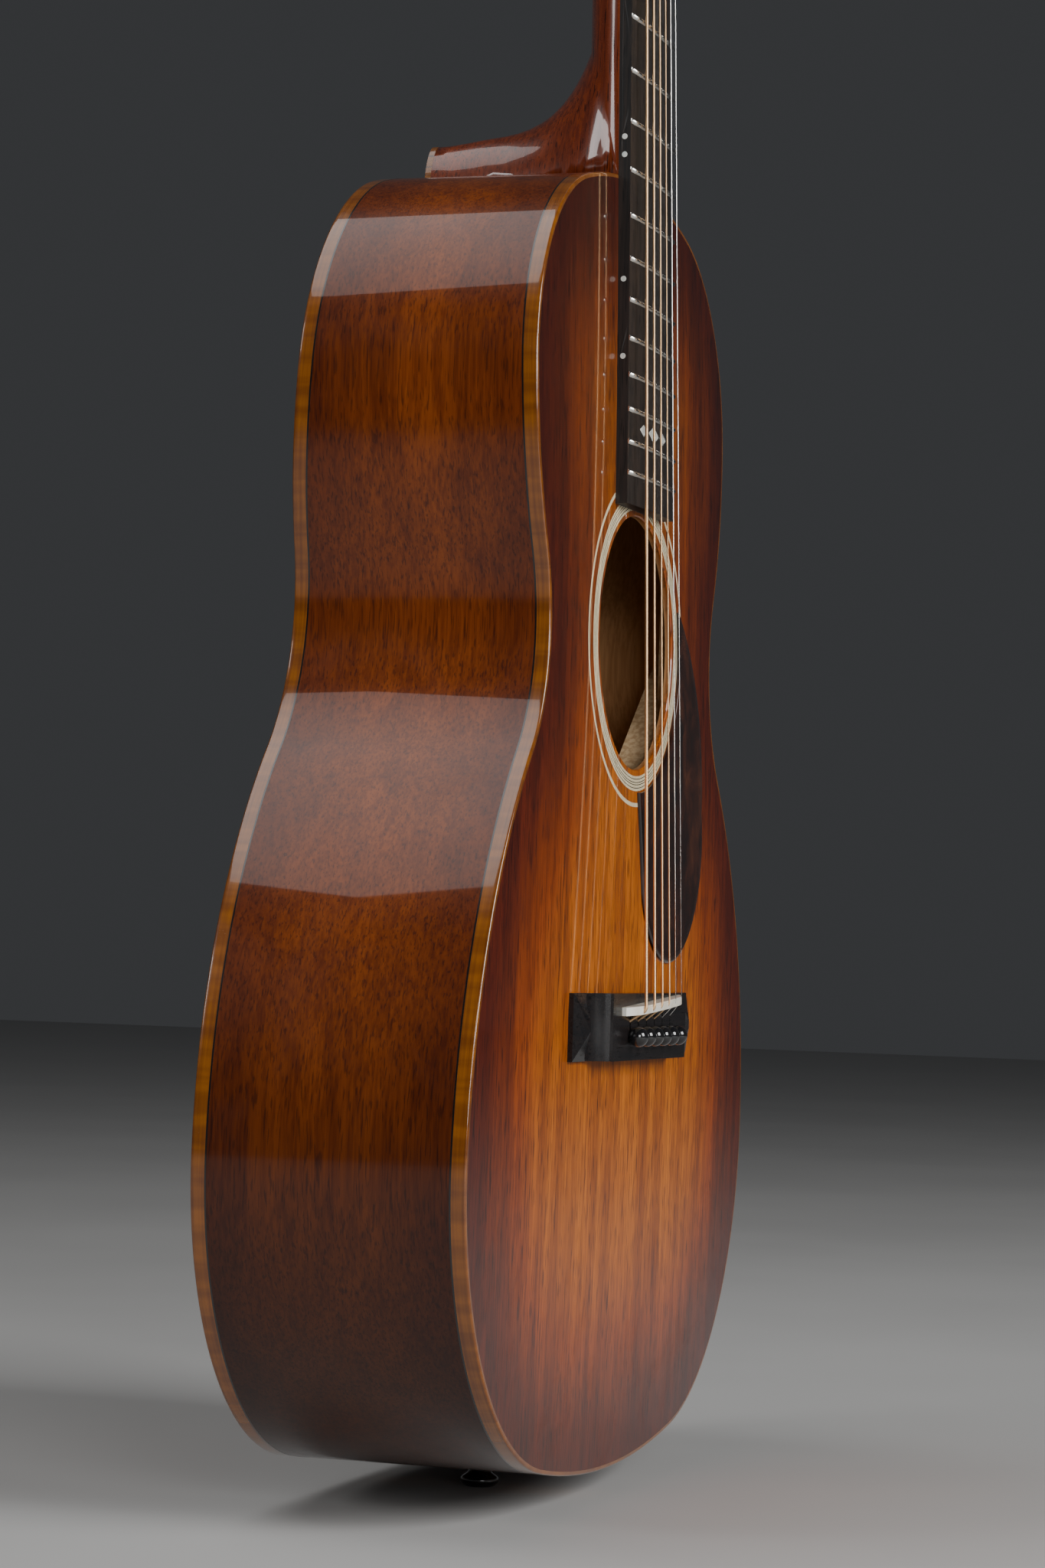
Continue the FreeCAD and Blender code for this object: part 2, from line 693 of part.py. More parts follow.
def linings():
    """Four strips that widen the edge of the sides where the plates are glued."""
    strip = PLAN_IN_SIDE.cut(PLAN_IN_LINING)
    strip = strip.cut(neck_block_space()).cut(tail_block_space())
    upper = strip.common(TOP_INNER).cut(top_ball(TOP_THICKNESS + LINING_DEPTH))
    lower = strip.common(BACK_INNER).cut(back_ball(BACK_THICKNESS + LINING_DEPTH))
    return Part.makeCompound(upper.Solids + lower.Solids)


def bar(length, width, depth, taper):
    """A brace along X with its two ends pared down, standing in +Y from y = 0."""
    half = length / 2.0
    points = [V(-half, 0, -width / 2.0), V(half, 0, -width / 2.0),
              V(half, BRACE_TIP_DEPTH, -width / 2.0), V(half - taper, depth, -width / 2.0),
              V(taper - half, depth, -width / 2.0), V(-half, BRACE_TIP_DEPTH, -width / 2.0)]
    return prism(points, V(0, 0, width))


def top_bar(x, z, angle, length, width, depth, taper=BRACE_TAPER_LENGTH):
    """A brace under the soundboard: its middle, its angle up from X, and its sizes."""
    brace = bar(length, width, depth + TOP_THICKNESS, taper)
    brace.rotate(V(0, 0, 0), V(0, 1, 0), -angle)
    brace.translate(V(x, top_y(x, z), z))
    return brace.common(TOP_INNER).common(PLAN_FOR_BRACES)


X_CROSSING = HOLE_HEIGHT - HOLE_RADIUS - X_CROSS_BELOW_HOLE


def x_arm(sign, width):
    """One bar of the X, which leans up to the bass or to the treble."""
    x = -sign * X_BRACE_SHIFT * math.cos(math.radians(X_BRACE_ANGLE))
    z = X_CROSSING - X_BRACE_SHIFT * math.sin(math.radians(X_BRACE_ANGLE))
    return top_bar(x, z, sign * X_BRACE_ANGLE, X_BRACE_LENGTH, width, X_BRACE_DEPTH)


def half_lap():
    """The slice of the crossing that the second bar gives up to the first."""
    reach = X_BRACE_WIDTH * 2.0
    low = top_y(0, X_CROSSING)
    return box(-reach, reach, low, low + TOP_THICKNESS + X_BRACE_DEPTH / 2.0,
               X_CROSSING - reach, X_CROSSING + reach)


def x_braces():
    """Two bars that cross below the soundhole with a half-lap joint."""
    first = x_arm(1, X_BRACE_WIDTH)
    second = x_arm(-1, X_BRACE_WIDTH)
    crossing = first.common(second)
    lap = half_lap()
    first_bar = first.cut(crossing.cut(lap))
    second_bar = second.cut(crossing.common(lap))
    return Part.makeCompound([largest(first_bar), largest(second_bar)])


def largest(shape):
    """The biggest solid of a shape, when a cut leaves crumbs."""
    return max(shape.Solids, key=lambda solid: solid.Volume)


def top_braces():
    """Transverse brace, soundhole braces, finger braces and tone bars."""
    above = HOLE_HEIGHT + HOLE_RADIUS + TRANSVERSE_ABOVE_HOLE
    keep_clear = fused([x_arm(1, X_BRACE_WIDTH + 2 * BRACE_CLEARANCE),
                        x_arm(-1, X_BRACE_WIDTH + 2 * BRACE_CLEARANCE)])
    wide = 2.0 * UPPER_HALF_WIDTH
    transverse = top_bar(0, above, 0, wide, TRANSVERSE_BRACE_WIDTH, TRANSVERSE_BRACE_DEPTH)
    braces = [largest(transverse)]
    finger_x = (UPPER_HALF_WIDTH + HOLE_RADIUS) / 2.0 + FINGER_BRACE_OUT
    for sign in (-1, 1):
        beside = top_bar(sign * (HOLE_RADIUS + HOLE_BRACE_GAP), HOLE_HEIGHT, 90,
                         HOLE_BRACE_SPAN * HOLE_RADIUS, TONE_BRACE_WIDTH, TONE_BRACE_DEPTH / 2.0,
                         HOLE_BRACE_TAPER_LENGTH)
        braces.append(largest(beside.cut(keep_clear).cut(transverse)))
        finger = top_bar(sign * finger_x, X_CROSSING - FINGER_BRACE_DROP, -sign * FINGER_BRACE_ANGLE,
                         FINGER_BRACE_LENGTH, TONE_BRACE_WIDTH, TONE_BRACE_DEPTH)
        braces.append(largest(finger.cut(keep_clear)))
    for drop, shift, length in zip(TONE_BRACE_DROPS, TONE_BRACE_SHIFTS, TONE_BRACE_LENGTHS):
        tone = top_bar(shift, X_CROSSING - drop, TONE_BRACE_ANGLE, length,
                       TONE_BRACE_WIDTH, TONE_BRACE_DEPTH)
        tone = tone.cut(keep_clear).cut(plate_blank())
        braces.append(largest(tone))
    return Part.makeCompound(braces)


def back_strip_space():
    half = BACK_STRIP_WIDTH / 2.0
    low = TAIL_BLOCK_LENGTH + BRACE_CLEARANCE
    high = BODY_LENGTH - NECK_BLOCK_LENGTH - BRACE_CLEARANCE
    strip = box(-half, half, OUTER_Y_LOW, OUTER_Y_HIGH, low, high)
    return strip.common(BACK_INNER).cut(back_ball(BACK_THICKNESS + BACK_STRIP_THICKNESS))


def back_braces():
    """Four cross bars and the centre strip between them."""
    strip = back_strip_space()
    braces = []
    for height in BACK_BRACE_HEIGHTS:
        brace = bar(2.0 * LOWER_HALF_WIDTH, BACK_BRACE_WIDTH, BACK_BRACE_DEPTH + BACK_THICKNESS,
                    BRACE_TAPER_LENGTH)
        brace.rotate(V(0, 0, 0), V(0, 0, 1), 180)
        brace.translate(V(0, back_y(0, height), height))
        reach = PLAN_FOR_BRACES.common(box(-LOWER_HALF_WIDTH, LOWER_HALF_WIDTH, OUTER_Y_LOW,
                                           OUTER_Y_HIGH, height - 20, height + 20))
        brace = brace.common(BACK_INNER).common(reach)
        braces.append(largest(brace))
        strip = strip.cut(brace)
    return Part.makeCompound(braces + strip.Solids)


def plate_blank():
    half = PLATE_LENGTH / 2.0
    low = BRIDGE_MIDDLE - PLATE_WIDTH / 2.0
    slab = box(-half, half, OUTER_Y_LOW, 40, low, low + PLATE_WIDTH)
    return slab.common(TOP_INNER).cut(top_ball(TOP_THICKNESS + PLATE_THICKNESS))


def bridge_plate():
    """The hard plate under the soundboard that the strings' ball ends pull against."""
    keep_clear = fused([x_arm(1, X_BRACE_WIDTH), x_arm(-1, X_BRACE_WIDTH)])
    return largest(plate_blank().cut(keep_clear).cut(PIN_HOLES))


# ---- pickguard -------------------------------------------------------------------------------
def guard_point(place, from_hole):
    """A point of the teardrop: its first number is from the soundhole's edge or the centre line."""
    out, drop = place
    x = out + HOLE_RADIUS if from_hole else out
    return V(x, OUTER_Y_LOW, HOLE_HEIGHT - drop * (HOLE_HEIGHT - BRIDGE_TOP_EDGE))


def arc_edge(start, middle, end):
    return Part.Arc(start, middle, end).toShape()


def ring_point(radius, angle):
    """A point of a circle about the soundhole."""
    turn = math.radians(angle)
    return V(radius * math.cos(turn), OUTER_Y_LOW, HOLE_HEIGHT + radius * math.sin(turn))


def pickguard():
    """A thin teardrop that follows the inner ring of the rosette."""
    radius = INNER_RING_END + GUARD_RING_GAP
    tip = ring_point(radius, GUARD_TIP_ANGLE)
    foot = ring_point(radius, GUARD_FOOT_ANGLE)
    middle = ring_point(radius, (GUARD_TIP_ANGLE + GUARD_FOOT_ANGLE) / 2.0)
    low = guard_point(GUARD_OUTER_LOW, True)
    bottom = guard_point(GUARD_BOTTOM, True)
    left = guard_point(GUARD_LEFT, False)
    edges = [
        arc_edge(tip, guard_point(GUARD_OUTER_MID, True), low),
        arc_edge(low, guard_point(GUARD_CORNER_MID, True), bottom),
        arc_edge(bottom, guard_point(GUARD_CORNER_LEFT, False), left),
        arc_edge(left, guard_point(GUARD_LEFT_MID, False), foot),
        arc_edge(foot, middle, tip),
    ]
    blank = Part.Face(Part.Wire(edges)).extrude(V(0, -OUTER_Y_LOW + 20, 0))
    return tidy(blank.common(top_ball(-GUARD_THICKNESS)).cut(TOP_OUTER))


# ---- bridge and saddle -----------------------------------------------------------------------
def scoop(sign):
    """The cylinder that hollows a wing, from the pyramid's peak down and up to the platform."""
    half = BRIDGE_LENGTH / 2.0
    edge = sign * PLATFORM_LENGTH / 2.0
    low = sign * (half - SCOOP_LOW_INSET)
    reach = abs(edge - low)
    rise = BRIDGE_THICKNESS - WING_END_THICKNESS
    radius = (reach ** 2 + rise ** 2) / (2.0 * rise)
    axis_y = -(WING_END_THICKNESS + radius)
    start = V(low, axis_y, BRIDGE_MIDDLE - BRIDGE_WIDTH)
    return rod(radius, start, start + V(0, 0, 2 * BRIDGE_WIDTH))


def pyramid(sign):
    """The outer end of a wing: three slopes that meet in a low peak."""
    half = BRIDGE_LENGTH / 2.0
    side_half = BRIDGE_WIDTH / 2.0
    end = half
    peak = half - PYRAMID_PEAK_INSET
    low = half - SCOOP_LOW_INSET
    edge_y = -WING_END_THICKNESS
    peak_y = -PYRAMID_HEIGHT
    middle = BRIDGE_MIDDLE

    def at(x, y, z):
        return V(sign * x, y, middle + z)

    corners = {
        "a": at(end, edge_y, -side_half), "b": at(end, edge_y, side_half),
        "c": at(low, edge_y, side_half), "d": at(low, edge_y, -side_half),
        "p": at(peak, peak_y, 0), "q": at(low, peak_y, 0),
    }

    def face(names):
        points = [corners[name] for name in names]
        return Part.Face(Part.makePolygon(points + [points[0]]))

    faces = [face("abp"), face("bcqp"), face("cdq"), face("dapq"), face("abcd")]
    roof = Part.Solid(Part.Shell(faces))
    if roof.Volume < 0:
        roof.reverse()
    x0, x1 = sorted((sign * low, sign * end))
    base = box(x0, x1, edge_y, 10, middle - side_half, middle + side_half)
    return base.fuse(roof)


def saddle_slant():
    """Angle of the saddle in plan, from its two outer strings."""
    first, last = SADDLE_POINTS[0], SADDLE_POINTS[-1]
    return math.degrees(math.atan2(last.z - first.z, last.x - first.x))


def saddle_blank(length, width, profile):
    """A slab along X under the strings: profile gives its outline in X and Y."""
    slab = prism([V(x, y, -width / 2.0) for x, y in profile(length / 2.0)], V(0, 0, width))
    slab.rotate(V(0, 0, 0), V(0, 1, 0), -saddle_slant())
    middle = (SADDLE_POINTS[0] + SADDLE_POINTS[-1]) * 0.5
    slab.translate(V(middle.x, 0, middle.z))
    return slab


def saddle_slot_profile(half):
    floor = SADDLE_SLOT_DEPTH - BRIDGE_THICKNESS
    return [(-half, floor), (half, floor), (half, -40), (-half, -40)]


def saddle_profile(half):
    """The saddle's outline: a crowned top that each string rests on, falling at both ends."""
    floor = SADDLE_SLOT_DEPTH - BRIDGE_THICKNESS
    top = []
    for index in range(6):
        point = SADDLE_POINTS[index]
        top.append((point.x, point.y + STRING_DIAMETERS[index] / 2.0 + 0.02))
    first, last = top[0], top[-1]
    shoulder = half - abs(first[0])
    points = [(half, floor), (-half, floor), (-half, first[1] + SADDLE_END_DROP),
              (first[0] - shoulder / 2.0, first[1] + SADDLE_END_DROP / 3.0)]
    points += top
    points += [(last[0] + shoulder / 2.0, last[1] + SADDLE_END_DROP / 3.0),
               (half, last[1] + SADDLE_END_DROP)]
    return points[::-1]


def saddle():
    """The saddle, with a shallow notch under each string."""
    blank = saddle_blank(SADDLE_LENGTH, SADDLE_WIDTH, saddle_profile)
    cutters = []
    for index in range(6):
        radius = STRING_DIAMETERS[index] / 2.0 + NOTCH_CLEARANCE
        before, middle, after = string_route(index)[1:4]
        cutters.append(rod(radius, before, middle))
        cutters.append(rod(radius, middle, after))
        cutters.append(Part.makeSphere(radius, middle))
    return largest(blank.cut(fused(cutters)))


def bridge():
    """A pyramid-ended bridge with a raised platform, glued to the dome."""
    half = BRIDGE_LENGTH / 2.0
    low_inset = half - SCOOP_LOW_INSET
    z0 = BRIDGE_MIDDLE - BRIDGE_WIDTH / 2.0
    z1 = BRIDGE_MIDDLE + BRIDGE_WIDTH / 2.0
    blank = box(-low_inset, low_inset, -BRIDGE_THICKNESS, 10, z0, z1)
    body = fused([blank, pyramid(-1), pyramid(1)])
    platform_half = PLATFORM_LENGTH / 2.0
    for sign in (-1, 1):
        x0, x1 = sorted((sign * platform_half, sign * (half + 1)))
        wing = box(x0, x1, -40, 10, z0 - 1, z1 + 1)
        body = body.cut(scoop(sign).common(wing))
    body = body.cut(TOP_OUTER)
    slot = saddle_blank(SADDLE_LENGTH + 2 * SADDLE_CLEARANCE, SADDLE_WIDTH + 2 * SADDLE_CLEARANCE,
                        saddle_slot_profile)
    return tidy(body.cut(slot).cut(PIN_HOLES))


def bridge_pin(index):
    """A round-headed pin with a tapered shaft."""
    shaft = pin_profile(0.0)
    neck_end = -BRIDGE_THICKNESS - PIN_NECK_LENGTH
    neck = rod(PIN_SHAFT_RADIUS, V(0, neck_end - 1.0, 0), V(0, -BRIDGE_THICKNESS, 0))
    head = Part.makeSphere(PIN_HEAD_RADIUS, V(0, neck_end - PIN_HEAD_RADIUS * PIN_HEAD_ROUNDNESS, 0))
    reach = 2 * PIN_HEAD_RADIUS
    head = head.cut(box(-reach, reach, neck_end, neck_end + reach, -reach, reach))
    pin = fused([shaft, neck, head])
    pin.translate(V(pin_x(index), 0, PIN_HEIGHT))
    return pin


# ---- fingerboard, frets, nut -----------------------------------------------------------------
BOARD_END = fret_w(FRET_COUNT) - BOARD_OVERHANG


def board_blank():
    """The fingerboard in the neck's frame, with its arched face."""
    nut_half = board_half_width(0)
    end_half = board_half_width(BOARD_END)
    floor = 1.0
    blank = prism([V(-nut_half, floor, 0), V(nut_half, floor, 0), V(end_half, floor, BOARD_END),
                   V(-end_half, floor, BOARD_END)], V(0, -BOARD_THICKNESS - floor - 2, 0))
    axis = V(0, BOARD_RADIUS - BOARD_THICKNESS, BOARD_END - 5)
    return blank.common(Part.makeCylinder(BOARD_RADIUS, 30 - BOARD_END, axis, V(0, 0, 1)))


def fret(number, width, height, depth):
    """A fret, or its slot, turned about the axis of the board's arch."""
    w = fret_w(number)
    half = board_half_width(w)
    sweep = math.degrees(math.asin(half / BOARD_RADIUS))
    base = -BOARD_THICKNESS
    axis = V(0, BOARD_RADIUS - BOARD_THICKNESS, w)
    pieces = []
    if height > 0:
        near = V(0, base, w - FRET_WIDTH / 2)
        far = V(0, base, w + FRET_WIDTH / 2)
        crown = Part.Arc(near, V(0, base - height, w), far)
        closing = Part.makeLine(far, near)
        pieces.append(Part.Face(Part.Wire([crown.toShape(), closing])))
    tang = [V(0, base, w - width / 2), V(0, base, w + width / 2),
            V(0, base + depth, w + width / 2), V(0, base + depth, w - width / 2)]
    pieces.append(Part.Face(Part.makePolygon(tang + [tang[0]])))
    turned = []
    for piece in pieces:
        piece.rotate(axis, V(0, 0, 1), -sweep)
        turned.append(piece.revolve(axis, V(0, 0, 1), 2 * sweep))
    return fused(turned) if len(turned) > 1 else turned[0]


def frets():
    wires = [fret(number, TANG_WIDTH, FRET_HEIGHT, TANG_DEPTH) for number in range(1, FRET_COUNT + 1)]
    return placed(Part.makeCompound(wires), NECK_FRAME)


def side_dots():
    """Position dots in the bass edge of the board, in the neck's frame."""
    dots = []
    for number in SIDE_DOT_FRETS:
        middle = (fret_w(number) + fret_w(number - 1)) / 2.0
        spots = [0.0]
        if number == JOIN_FRET:
            spots = [-DOUBLE_DOT_SPACING / 2.0, DOUBLE_DOT_SPACING / 2.0]
        for spot in spots:
            w = middle + spot
            edge = -board_half_width(w)
            level = board_face(edge) / 2.0
            outward = V(edge - 2.0, level, w)
            dots.append(rod(SIDE_DOT_RADIUS, outward, V(edge + SIDE_DOT_DEPTH, level, w)))
    return dots


def motif():
    """A plain row of three lozenges let into the face near its end, in the neck's frame."""
    first, second = MOTIF_FRETS
    middle = (fret_w(first) + fret_w(second)) / 2.0
    pieces = []
    for step, size in ((-1, MOTIF_SMALL_SHARE), (0, 1.0), (1, MOTIF_SMALL_SHARE)):
        place = step * MOTIF_SPACING
        half_l = MOTIF_HALF_LENGTH * size
        half_w = MOTIF_HALF_WIDTH * size
        level = MOTIF_DEPTH - BOARD_THICKNESS
        pieces.append(prism([V(place - half_l, level, middle), V(place, level, middle + half_w),
                             V(place + half_l, level, middle), V(place, level, middle - half_w)],
                            V(0, -4, 0)))
    return pieces


def inlays():
    """Side dots and the face motif, finished flush with the board."""
    pieces = [piece.common(board_blank()) for piece in side_dots() + motif()]
    return placed(Part.makeCompound([tidy(piece) for piece in pieces]), NECK_FRAME)


def fingerboard():
    board = board_blank()
    slots = [fret(number, TANG_WIDTH, 0, TANG_DEPTH) for number in range(1, FRET_COUNT + 1)]
    board = board.cut(Part.makeCompound(slots + side_dots() + motif()))
    under = box(-60, 60, 0, 20, -NUT_TO_JOIN, 20)
    board = placed(board.cut(under), NECK_FRAME)
    return tidy(board.cut(TOP_OUTER))


def nut():
    """The nut, with a slot for each string."""
    half = NUT_WIDTH / 2.0
    crown = -(BOARD_THICKNESS + FRET_HEIGHT + FIRST_FRET_CLEARANCE + NUT_LIP)
    blank = box(-half, half, crown - 1.0, 0, 0, NUT_THICKNESS)
    axis = V(0, BOARD_RADIUS + crown, -1)
    blank = blank.common(Part.makeCylinder(BOARD_RADIUS, NUT_THICKNESS + 2, axis, V(0, 0, 1)))
    cutters = []
    for index in range(6):
        start = nut_point(index)
        wide = STRING_DIAMETERS[index] / 2.0 + STRING_CLEARANCE / 3.0
        cutters.append(box(start.x - wide, start.x + wide, -30, start.y + wide - NOTCH_CLEARANCE,
                           -1, NUT_THICKNESS + 1))
    return placed(tidy(blank.cut(Part.makeCompound(cutters))), NECK_FRAME)


# ---- neck and headstock ----------------------------------------------------------------------
def shaft_section(w, depth):
    """Half an ellipse under the glue line."""
    half = board_half_width(w)
    major, minor = (half, depth) if half > depth else (depth, half)
    ellipse = Part.Ellipse(V(half, 0, w), V(0, depth, w), V(0, 0, w))
    if half <= depth:
        ellipse = Part.Ellipse(V(0, major, w), V(minor, 0, w), V(0, 0, w))
    left, right = V(-half, 0, w), V(half, 0, w)
    first = ellipse.parameter(right)
    second = ellipse.parameter(left)
    arc = Part.ArcOfEllipse(ellipse, first, second).toShape()
    return Part.Wire([arc, Part.makeLine(arc.Vertexes[-1].Point, arc.Vertexes[0].Point)])


def neck_shaft():
    """The playing length of the neck, from under the nut to inside the heel."""
    sections = []
    for share in (0.0, 0.33, 0.66, 1.0):
        w = NUT_THICKNESS - share * (NUT_TO_JOIN + NUT_THICKNESS + 4.0)
        depth = NECK_DEPTH_AT_NUT + share * (NECK_DEPTH_AT_HEEL - NECK_DEPTH_AT_NUT)
        sections.append(shaft_section(w, depth))
    return Part.makeLoft(sections, True, False)


def heel_section(y, half_width, length):
    """Half an ellipse in a plane square to Y, standing out from the body."""
    base = BODY_LENGTH - HEEL_RUN_IN
    centre = V(0, y, base)
    reach = length + HEEL_RUN_IN
    if reach >= half_width:
        ellipse = Part.Ellipse(V(0, y, base + reach), V(half_width, y, base), centre)
    else:
        ellipse = Part.Ellipse(V(half_width, y, base), V(0, y, base + reach), centre)
    left = V(-half_width, y, base)
    right = V(half_width, y, base)
    middle = V(0, y, base + reach)
    first = ellipse.parameter(left)
    last = ellipse.parameter(right)
    arc = Part.ArcOfEllipse(ellipse, first, last)
    inside = arc.value((arc.FirstParameter + arc.LastParameter) / 2.0)
    if (inside - middle).Length > reach:
        arc = Part.ArcOfEllipse(ellipse, last, first)
    edge = arc.toShape()
    return Part.Wire([edge, Part.makeLine(edge.Vertexes[-1].Point, edge.Vertexes[0].Point)])


def heel_end_y():
    """Where the heel stops and its cap begins."""
    return back_y(0, BODY_LENGTH) - HEEL_CAP_THICKNESS


def heel():
    """The heel: sections that narrow and draw in towards the back."""
    start = top_y(0, BODY_LENGTH)
    depth = heel_end_y() - start
    sections = [heel_section(start + share * depth, half, length) for share, half, length in HEEL_STATIONS]
    return Part.makeLoft(sections, True, False)


def heel_cap():
    share, half, length = HEEL_STATIONS[-1]
    section = Part.Face(heel_section(heel_end_y(), half, length))
    return tidy(section.extrude(V(0, HEEL_CAP_THICKNESS, 0)).cut(PLAN))


def head_outline():
    """The headstock's plan in its own frame: X and h."""
    neck_half = board_half_width(0)
    return [V(-neck_half, 0, -HEAD_ROOT), V(neck_half, 0, -HEAD_ROOT), V(neck_half, 0, HEAD_SHOULDER_START),
            V(HEAD_HALF_WIDTH, 0, HEAD_SHOULDER), V(HEAD_HALF_WIDTH, 0, HEAD_LENGTH),
            V(-HEAD_HALF_WIDTH, 0, HEAD_LENGTH), V(-HEAD_HALF_WIDTH, 0, HEAD_SHOULDER),
            V(-neck_half, 0, HEAD_SHOULDER_START)]


def head_slots():
    """The two long slots that the strings drop into."""
    radius = (SLOT_OUTER - SLOT_INNER) / 2.0
    middle = (SLOT_OUTER + SLOT_INNER) / 2.0
    low = ROLLER_HEIGHTS[0] - SLOT_BEFORE_FIRST_ROLLER + radius
    high = ROLLER_HEIGHTS[-1] + SLOT_AFTER_LAST_ROLLER - radius
    slots = []
    for sign in (-1, 1):
        x = sign * middle
        reach = HEAD_THICKNESS + 10
        slots.append(fused([box(x - radius, x + radius, -5, reach, low, high),
                            rod(radius, V(x, -5, low), V(x, reach, low)),
                            rod(radius, V(x, -5, high), V(x, reach, high))]))
    return Part.makeCompound(slots)


def roller_holes():
    holes = []
    for sign in (-1, 1):
        for height in ROLLER_HEIGHTS:
            start = V(sign * (SLOT_INNER - ROLLER_SEAT), ROLLER_DEPTH, height)
            end = V(sign * (HEAD_HALF_WIDTH + 5), ROLLER_DEPTH, height)
            holes.append(rod(ROLLER_RADIUS + ROLLER_RUNNING_CLEARANCE, start, end))
    return Part.makeCompound(holes)


def under_nut(depth):
    """Space in front of the glue line up to the back of the nut, in the neck's frame."""
    return placed(box(-60, 60, -40, depth, -60, NUT_THICKNESS), NECK_FRAME)


def head_blank(front, rear):
    """The headstock between two depths, with its slots."""
    outline = [V(point.x, front, point.z) for point in head_outline()]
    blank = prism(outline, V(0, rear - front, 0))
    return placed(blank.cut(head_slots()), HEAD_FRAME)


def headstock_veneer():
    return tidy(head_blank(0, VENEER_THICKNESS).cut(under_nut(40)))


def rod_space(clearance):
    """The truss rod, or its channel, in the neck's frame."""
    half = ROD_WIDTH / 2.0 + clearance
    end = -NUT_TO_JOIN - TENON_LENGTH + 1.0
    return placed(box(-half, half, 0, ROD_DEPTH + clearance, end, -ROD_START), NECK_FRAME)


def neck():
    """Shaft, heel, dovetail and headstock in one piece of wood."""
    head = head_blank(VENEER_THICKNESS, HEAD_THICKNESS).cut(under_nut(0))
    head = head.cut(placed(roller_holes(), HEAD_FRAME))
    head = head.cut(placed(screw_holes(), HEAD_FRAME))
    shaft = placed(neck_shaft(), NECK_FRAME)
    above = placed(box(-60, 60, -40, 0, -NUT_TO_JOIN - 40, NUT_THICKNESS), NECK_FRAME)
    outside = heel().fuse(shaft).cut(above).cut(ENVELOPE)
    inside = tenon(0.0).common(ENVELOPE)
    wood = fused([outside, inside, head])
    return largest(wood.cut(rod_space(JOINT_CLEARANCE)))


def truss_rod():
    return rod_space(0.0)


# ---- tuners ----------------------------------------------------------------------------------
def tuner_side(index):
    """-1 for the three bass strings and 1 for the three treble strings."""
    return -1 if index < 3 else 1


def tuner_height(index):
    """The outer strings go to the rollers nearest the nut."""
    return ROLLER_HEIGHTS[index] if index < 3 else ROLLER_HEIGHTS[5 - index]


def tuner_roller(index):
    sign = tuner_side(index)
    height = tuner_height(index)
    inner = V(sign * (SLOT_INNER - ROLLER_SEAT + 0.3), ROLLER_DEPTH, height)
    shoulder = V(sign * (GEAR_MIDDLE - GEAR_WIDTH / 2.0), ROLLER_DEPTH, height)
    end = V(sign * (GEAR_MIDDLE + GEAR_WIDTH / 2.0 + 0.6), ROLLER_DEPTH, height)
    post = fused([rod(ROLLER_RADIUS, inner, shoulder), rod(STUD_RADIUS, shoulder, end)])
    return placed(post, HEAD_FRAME)


def tuner_gear(index):
    """A spur wheel with a tooth gap facing its worm."""
    sign = tuner_side(index)
    low = -GEAR_WIDTH / 2.0
    along = V(GEAR_WIDTH, 0, 0)
    pieces = [rod(GEAR_ROOT_RADIUS, V(low, 0, 0), V(-low, 0, 0))]
    base = GEAR_ROOT_RADIUS - 0.4
    for number in range(GEAR_TEETH):
        tooth = prism([V(low, -TOOTH_WIDTH_ROOT / 2, -base), V(low, TOOTH_WIDTH_ROOT / 2, -base),
                       V(low, TOOTH_WIDTH_TIP / 2, -GEAR_TIP_RADIUS),
                       V(low, -TOOTH_WIDTH_TIP / 2, -GEAR_TIP_RADIUS)], along)
        tooth.rotate(V(0, 0, 0), V(1, 0, 0), 360.0 * (number + 0.5) / GEAR_TEETH)
        pieces.append(tooth)
    wheel = fused(pieces).cut(rod(STUD_RADIUS, V(low - 1, 0, 0), V(1 - low, 0, 0)))
    wheel.translate(V(sign * GEAR_MIDDLE, ROLLER_DEPTH, tuner_height(index)))
    return placed(wheel, HEAD_FRAME)


def worm_centre(index):
    return V(tuner_side(index) * GEAR_MIDDLE, ROLLER_DEPTH, tuner_height(index) - WORM_OFFSET)


def worm_thread():
    """A right-hand thread about Z, which crosses z = 0 on the +X side."""
    height = WORM_TURNS * PITCH
    mean = (WORM_CORE_RADIUS + WORM_TIP_RADIUS) / 2.0
    helix = Part.makeHelix(PITCH, height, mean)
    low = WORM_CORE_RADIUS - 0.15
    profile = Part.makePolygon([
        V(low, 0, -THREAD_WIDTH_ROOT / 2), V(WORM_TIP_RADIUS, 0, -THREAD_WIDTH_TIP / 2),
        V(WORM_TIP_RADIUS, 0, THREAD_WIDTH_TIP / 2), V(low, 0, THREAD_WIDTH_ROOT / 2),
        V(low, 0, -THREAD_WIDTH_ROOT / 2)])
    thread = Part.Wire(helix).makePipeShell([profile], True, True)
    thread.translate(V(0, 0, -height / 2.0))
    return thread


def worm_blank():
    """Worm and shaft about Z: z is the headstock's depth, and +X faces the gear."""
    half = WORM_TURNS * PITCH / 2.0 + THREAD_WIDTH_ROOT
    core = rod(WORM_CORE_RADIUS, V(0, 0, -half), V(0, 0, half))
    tip = LUG_THICKNESS + WORM_END_CLEARANCE + 0.8
    button = BUTTON_DEPTH - ROLLER_DEPTH
    shaft = rod(SHAFT_RADIUS, V(0, 0, -half - tip), V(0, 0, button))
    return fused([core, shaft, worm_thread()])


WORM = worm_blank()


def in_worm_place(shape, index):
    """Turns a shape made about Z so that Z goes into the wood and +X faces the gear."""
    made = shape.copy()
    turn = FreeCAD.Placement(FreeCAD.Matrix(0, 1, 0, 0, 0, 0, 1, 0, 1, 0, 0, 0, 0, 0, 0, 1))
    made.Placement = turn.multiply(made.Placement)
    made.translate(worm_centre(index))
    return placed(made, HEAD_FRAME)


def tuner_worm(index):
    return in_worm_place(WORM, index)


